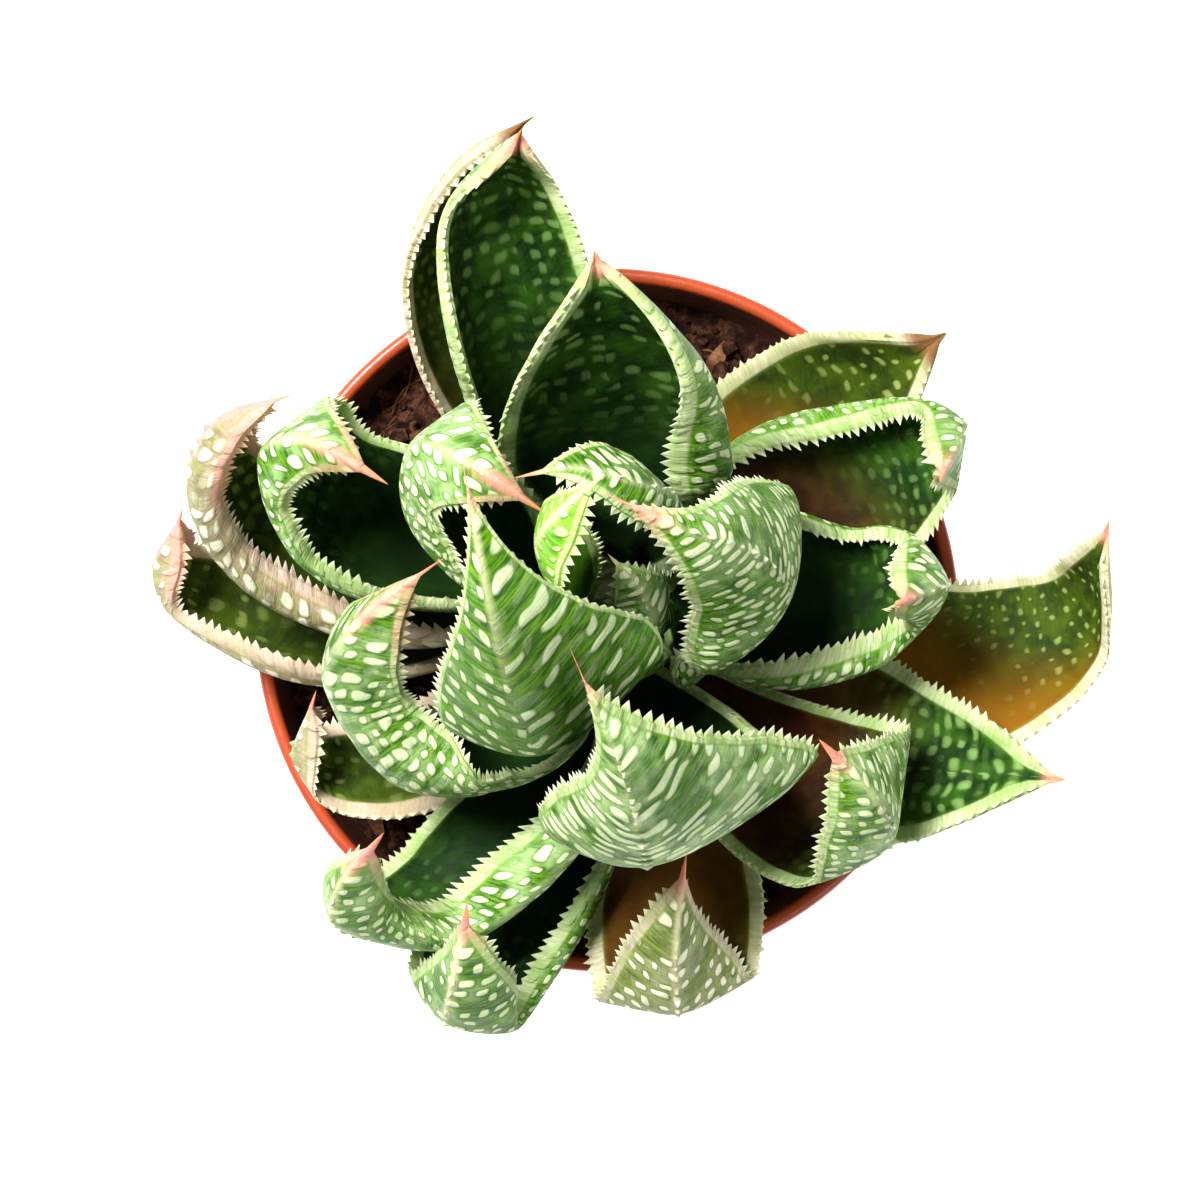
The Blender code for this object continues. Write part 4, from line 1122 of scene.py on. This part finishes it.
def makePotMaterial():
    material, shader = newMaterial("potPlastic")
    place = shader.place()
    x, y, z = shader.parts(place)
    radius = shader.math("SQRT", shader.plus(shader.times(x, x), shader.times(y, y)))
    mottle = shader.group(mottleGroup, {"Place": place, "Blotch": 60.0, "Grain": 1100.0})
    colour = shader.mix(shader.times(mottle["Value"], 0.35), pot["colour"], pot["dark"])
    top = pot["height"] * mm
    low = shader.plus(z, shader.times(mottle["Value"], 1.5 * mm))
    low = shader.scale(low, *[top - depth * mm for depth in pot["wallDarkFrom"]])
    shoulder = (pot["height"] - pot["collar"]) * mm
    footMiddle = (pot["foot"] - pot["wall"] / 2) * mm
    topMiddle = (pot["rim"] - pot["step"] - pot["wall"] / 2) * mm
    wall = shader.scale(z, 0.0, shoulder, footMiddle, topMiddle, smooth=False)
    inside = shader.math("LESS_THAN", radius, wall)
    # the inner wall is darker from just under the rim down
    wallDark = shader.times(inside, shader.plus(low, 0.1, True))
    colour = shader.mix(shader.times(wallDark, pot["mostWallDark"]), colour, pot["wallDark"])
    rough = shader.scale(mottle["Grain"], 0.0, 1.0, pot["roughness"], pot["roughness"] + 0.12, smooth=False)
    scratches = shader.noise(shader.stretch(shader.join(radius, 0.0, z), (1.0, 1.0, 2600.0)), 1.0)
    fine = shader.bump(scratches, 0.00004, 0.6)
    shader.finish({
        "Base Color": colour, "Roughness": shader.plus(rough, shader.times(wallDark, 0.4), True),
        "Normal": shader.bump(mottle["Height"], 0.0001, 0.5, fine), "Specular IOR Level": 0.5,
        "Subsurface Weight": 0.05, "Subsurface Radius": (1.0, 0.2, 0.1), "Subsurface Scale": 0.001,
    })
    return material


def makePot():
    piece = spinProfile(potProfile(), pot["steps"])
    deselectAll()
    cutters = []
    for turn in np.linspace(0, 2 * pi, pot["holeCount"], endpoint=False):
        place = (pot["holeRing"] * cos(turn) * mm, pot["holeRing"] * sin(turn) * mm, 0)
        bpy.ops.mesh.primitive_cylinder_add(
            vertices=32, radius=pot["holeRadius"] * mm, depth=3 * pot["floor"] * mm, location=place)
        cutters.append(bpy.context.object)
    for cutter in cutters:
        cutter.select_set(True)
    bpy.ops.object.join()
    cutter = bpy.context.object
    cut = piece.modifiers.new("drainHoles", "BOOLEAN")
    cut.operation = "DIFFERENCE"
    cut.object = cutter
    applyModifiers(piece)
    bpy.data.objects.remove(cutter, do_unlink=True)
    activate(piece)
    bpy.ops.object.shade_smooth_by_angle(angle=radians(35))
    finishPiece(piece, "pot_shell", makePotMaterial(), "pot")


makePot()
print("pot made")


# The soil: a lumpy peat surface with crumbs, bark chips and fibres pressed into it

soil = {
    "height": 80.0,
    "lump": 1.5,
    "lumpRate": 70,             # lumps a metre, as in the solid
    "grit": 1.9,                # finer unevenness
    "gritRate": 360,
    "smallRate": 2.3,           # of the smallest unevenness beside the grit, and its height
    "smallShare": 0.5,
    "edgeFade": (1.5, 4.0),     # where the lumps end at the wall, and over which width
    "cells": 150,               # of the surface grid along each side
    "crumbs": 1300,
    "crumbSize": (0.6, 2.9),
    "crumbLift": 0.15,          # middles over the surface, as a share of the size
    "crumbShape": (1, 0.85, 0.7),
    "crumbLump": 0.55,          # how far noise moves its corners, and the rate of that noise
    "crumbLumpRate": 1300,
    "chips": 170,
    "chipSize": (2.0, 7.0),     # length
    "chipLift": 0.08,
    "chipShape": (1, 0.42, 0.16),
    "chipTaper": 0.55,          # how much its ends narrow and lift, and how far noise shakes its corners
    "chipCurl": 0.12,
    "chipShake": 0.09,
    "chipShakeRate": 3100,
    "fibres": 130,
    "fibreSize": (5.0, 13.0),
    "fibreLift": 0.02,
    "fibreBend": 0.12,
    "fibreRadius": 0.13,
    "stemClear": 10.0,
    "wallClear": 2.5,
    "seed": 41,
    "peat": (0.012, 0.0035, 0.0020),
    "peatDry": (0.110, 0.042, 0.021),
    "bark": (0.085, 0.030, 0.012),
    "barkPale": (0.34, 0.16, 0.075),
    "fibre": (0.30, 0.14, 0.06),
    "fibreDark": (0.09, 0.035, 0.014),
}


def soilTop(x, y):
    # height of the surface over the nominal one, in mm, at a place in mm
    place = Vector((x, y, soil["height"])) * mm
    coarse = noise.noise(place * soil["lumpRate"]) * soil["lump"]
    fine = noise.noise(place * soil["gritRate"]) * soil["grit"]
    small = noise.noise(place * soil["gritRate"] * soil["smallRate"]) * soil["grit"] * soil["smallShare"]
    start, width = soil["edgeFade"]
    edge = min(max((soilRadius() - start - (x * x + y * y) ** 0.5) / width, 0), 1)
    return coarse * edge + (fine + small) * (0.3 + 0.7 * edge)


def soilRadius():
    return wallRadius(soil["height"]) - pot["wall"] - plant["gap"]


def makeEarthMaterial(name, dark, pale, roughness, blotch=260.0, grain=2600.0, depth=0.0006):
    material, shader = newMaterial(name)
    mottle = shader.group(mottleGroup, {"Place": shader.place(), "Blotch": blotch, "Grain": grain})
    colour = shader.mix(shader.math("POWER", mottle["Value"], 1.6), dark, pale)
    colour = shader.mix(shader.times(mottle["Grain"], 0.35), colour, dark)
    shader.finish({
        "Base Color": colour,
        "Roughness": shader.scale(mottle["Grain"], 0.0, 1.0, roughness - 0.1, roughness),
        "Normal": shader.bump(mottle["Height"], depth, 0.9), "Specular IOR Level": 0.12,
    })
    return material


def makeSoil():
    deselectAll()
    bpy.ops.mesh.primitive_grid_add(x_subdivisions=soil["cells"], y_subdivisions=soil["cells"], size=2)
    piece = bpy.context.object
    square = readCoords(piece.data)[:, :2]
    disc = square * np.sqrt(1 - square[:, ::-1] ** 2 / 2) * soilRadius()
    heights = [soil["height"] + soilTop(x, y) for x, y in disc]
    writeCoords(piece.data, np.column_stack([disc, heights]) * mm)
    bottom = pot["floor"] + plant["gap"]
    footShare = (wallRadius(bottom) - pot["wall"] - plant["gap"]) / soilRadius()
    editAll()
    bpy.ops.mesh.region_to_loop()
    drop = (0, 0, (bottom - soil["height"]) * mm)
    bpy.ops.mesh.extrude_edges_move(TRANSFORM_OT_translate={"value": drop})
    bpy.ops.transform.resize(value=(footShare, footShare, 0), center_override=(0, 0, bottom * mm))
    bpy.ops.mesh.edge_face_add()
    turnOutwards()
    bpy.ops.object.shade_smooth_by_angle(angle=radians(50))
    material = makeEarthMaterial("peat", soil["peat"], soil["peatDry"], 0.95, 340.0, 2200.0, 0.0011)
    finishPiece(piece, "soil_surface", material, "soil")


def scatter(base, kind, name, material, draw, lie=True):
    # copies of one shape lie about on the soil, and are joined into one piece
    copies = []
    while len(copies) < soil[kind + "s"]:
        reach = (soilRadius() - soil["wallClear"]) * draw.random() ** 0.5
        turn = draw.uniform(0, 2 * pi)
        x, y = reach * cos(turn), reach * sin(turn)
        stemX, stemY = plant["stem"]
        size = partWay(*soil[kind + "Size"], draw.random() ** 2)
        spin = draw.uniform(0, 2 * pi)
        tilt = draw.uniform(-0.3, 0.3, 2) if lie else draw.uniform(0, 2 * pi, 2)
        stretch = draw.uniform(0.75, 1.25, 3)
        if (x - stemX) ** 2 + (y - stemY) ** 2 < soil["stemClear"] ** 2:
            continue
        copy = base.copy()
        copy.data = base.data.copy()
        bpy.context.scene.collection.objects.link(copy)
        lift = soil["height"] + soilTop(x, y) + soil[kind + "Lift"] * size
        copy.location = Vector((x, y, lift)) * mm
        copy.rotation_euler = (tilt[0], tilt[1], spin)
        copy.scale = [size * part for part in stretch]
        copies.append(copy)
    bpy.data.objects.remove(base, do_unlink=True)
    deselectAll()
    for copy in copies:
        copy.select_set(True)
    bpy.context.view_layer.objects.active = copies[0]
    bpy.ops.object.join()
    bpy.ops.object.transform_apply(location=True, rotation=True, scale=True)
    piece = bpy.context.object
    bpy.ops.object.shade_smooth_by_angle(angle=radians(40))
    finishPiece(piece, name, material)


def makeCrumbBase():
    deselectAll()
    bpy.ops.mesh.primitive_ico_sphere_add(subdivisions=1, radius=mm)
    base = bpy.context.object
    coords = readCoords(base.data)
    lumps = np.array([noise.noise(Vector(point) * soil["crumbLumpRate"]) for point in coords])
    writeCoords(base.data, coords * (1 + soil["crumbLump"] * lumps[:, None]) * soil["crumbShape"])
    return base


def makeChipBase():
    # a flat splinter one mm long, whose two ends are pulled to uneven points
    deselectAll()
    bpy.ops.mesh.primitive_cube_add(size=mm)
    base = bpy.context.object
    editAll()
    bpy.ops.transform.resize(value=soil["chipShape"])
    bpy.ops.mesh.subdivide(number_cuts=2)
    objectMode()
    coords = readCoords(base.data)
    ends = np.abs(coords[:, 0] / mm) * 2
    noise.seed_set(soil["seed"])    # without it, noise_vector differs from run to run
    shake = np.array([noise.noise_vector(Vector(point) * soil["chipShakeRate"]) for point in coords])
    coords[:, 1] *= 1 - soil["chipTaper"] * ends ** 2
    coords[:, 2] += soil["chipCurl"] * mm * ends ** 2
    writeCoords(base.data, coords + shake * soil["chipShake"] * mm)
    return base


def makeFibreBase():
    # a thin bent thread one mm long
    deselectAll()
    bpy.ops.mesh.primitive_cylinder_add(vertices=5, radius=1, depth=1, end_fill_type="TRIFAN")
    base = bpy.context.object
    editAll()
    bpy.ops.mesh.bisect(plane_co=(0, 0, 0.25), plane_no=(0, 0, 1))
    for height in (0.0, -0.25):
        bpy.ops.mesh.select_all(action="SELECT")
        bpy.ops.mesh.bisect(plane_co=(0, 0, height), plane_no=(0, 0, 1))
    objectMode()
    coords = readCoords(base.data)
    along = coords[:, 2]
    thin = soil["fibreRadius"] / (sum(soil["fibreSize"]) / 2)
    bend = soil["fibreBend"] * np.cos(4 * along)
    writeCoords(base.data, np.column_stack([along, coords[:, 0] * thin + bend, coords[:, 1] * thin]) * mm)
    return base


makeSoil()
soilDraw = np.random.default_rng(soil["seed"])
crumbMaterial = makeEarthMaterial("crumb", soil["peat"], soil["peatDry"], 0.95, 420.0)
barkMaterial = makeEarthMaterial("bark", soil["bark"], soil["barkPale"], 0.85, 300.0)
fibreMaterial = makeEarthMaterial("fibre", soil["fibreDark"], soil["fibre"], 0.8, 150.0)
scatter(makeCrumbBase(), "crumb", "soil_crumbs", crumbMaterial, soilDraw, lie=False)
scatter(makeChipBase(), "chip", "soil_bark", barkMaterial, soilDraw)
scatter(makeFibreBase(), "fibre", "soil_fibres", fibreMaterial, soilDraw)
print("soil made")


# The stem, ringed by the scars of fallen leaves

stem = {
    "steps": 48,
    "rings": 40,
    "scarHeight": 0.35,
    "scarPitch": 3.2,
    # the stem's own green and brown, darkened to the black of the rosette's shaded heart: partly painted
    # shade
    "green": (0.035, 0.065, 0.012),
    "brown": (0.022, 0.018, 0.006),
}


def stemProfile():
    bottom = plant["soil"] - plant["stemDepth"]
    top = plant["soil"] + plant["stemLength"]
    dome = plant["stemTopRadius"] / 2
    points = [(0, bottom), (plant["stemRadius"], bottom)]
    for height in np.linspace(plant["soil"], top - dome, stem["rings"]):
        share = (height - plant["soil"]) / plant["stemLength"]
        radius = partWay(plant["stemRadius"], plant["stemTopRadius"], share)
        scar = stem["scarHeight"] * abs(sin(pi * height / stem["scarPitch"]))
        points.append((radius - stem["scarHeight"] + scar, height))
    return points + [(plant["stemTopRadius"] - dome, top - plant["gap"]), (0, top)]


def makeStem():
    piece = spinProfile(stemProfile(), stem["steps"])
    coords = readCoords(piece.data)
    coords[:, :2] += np.array(plant["stem"]) * mm
    writeCoords(piece.data, coords)
    bpy.ops.object.shade_smooth_by_angle(angle=radians(50))
    material = makeEarthMaterial("stemSkin", stem["brown"], stem["green"], 0.75, 180.0, 1500.0, 0.0003)
    finishPiece(piece, "stem_skin", material, "stem")


makeStem()
print("stem made")
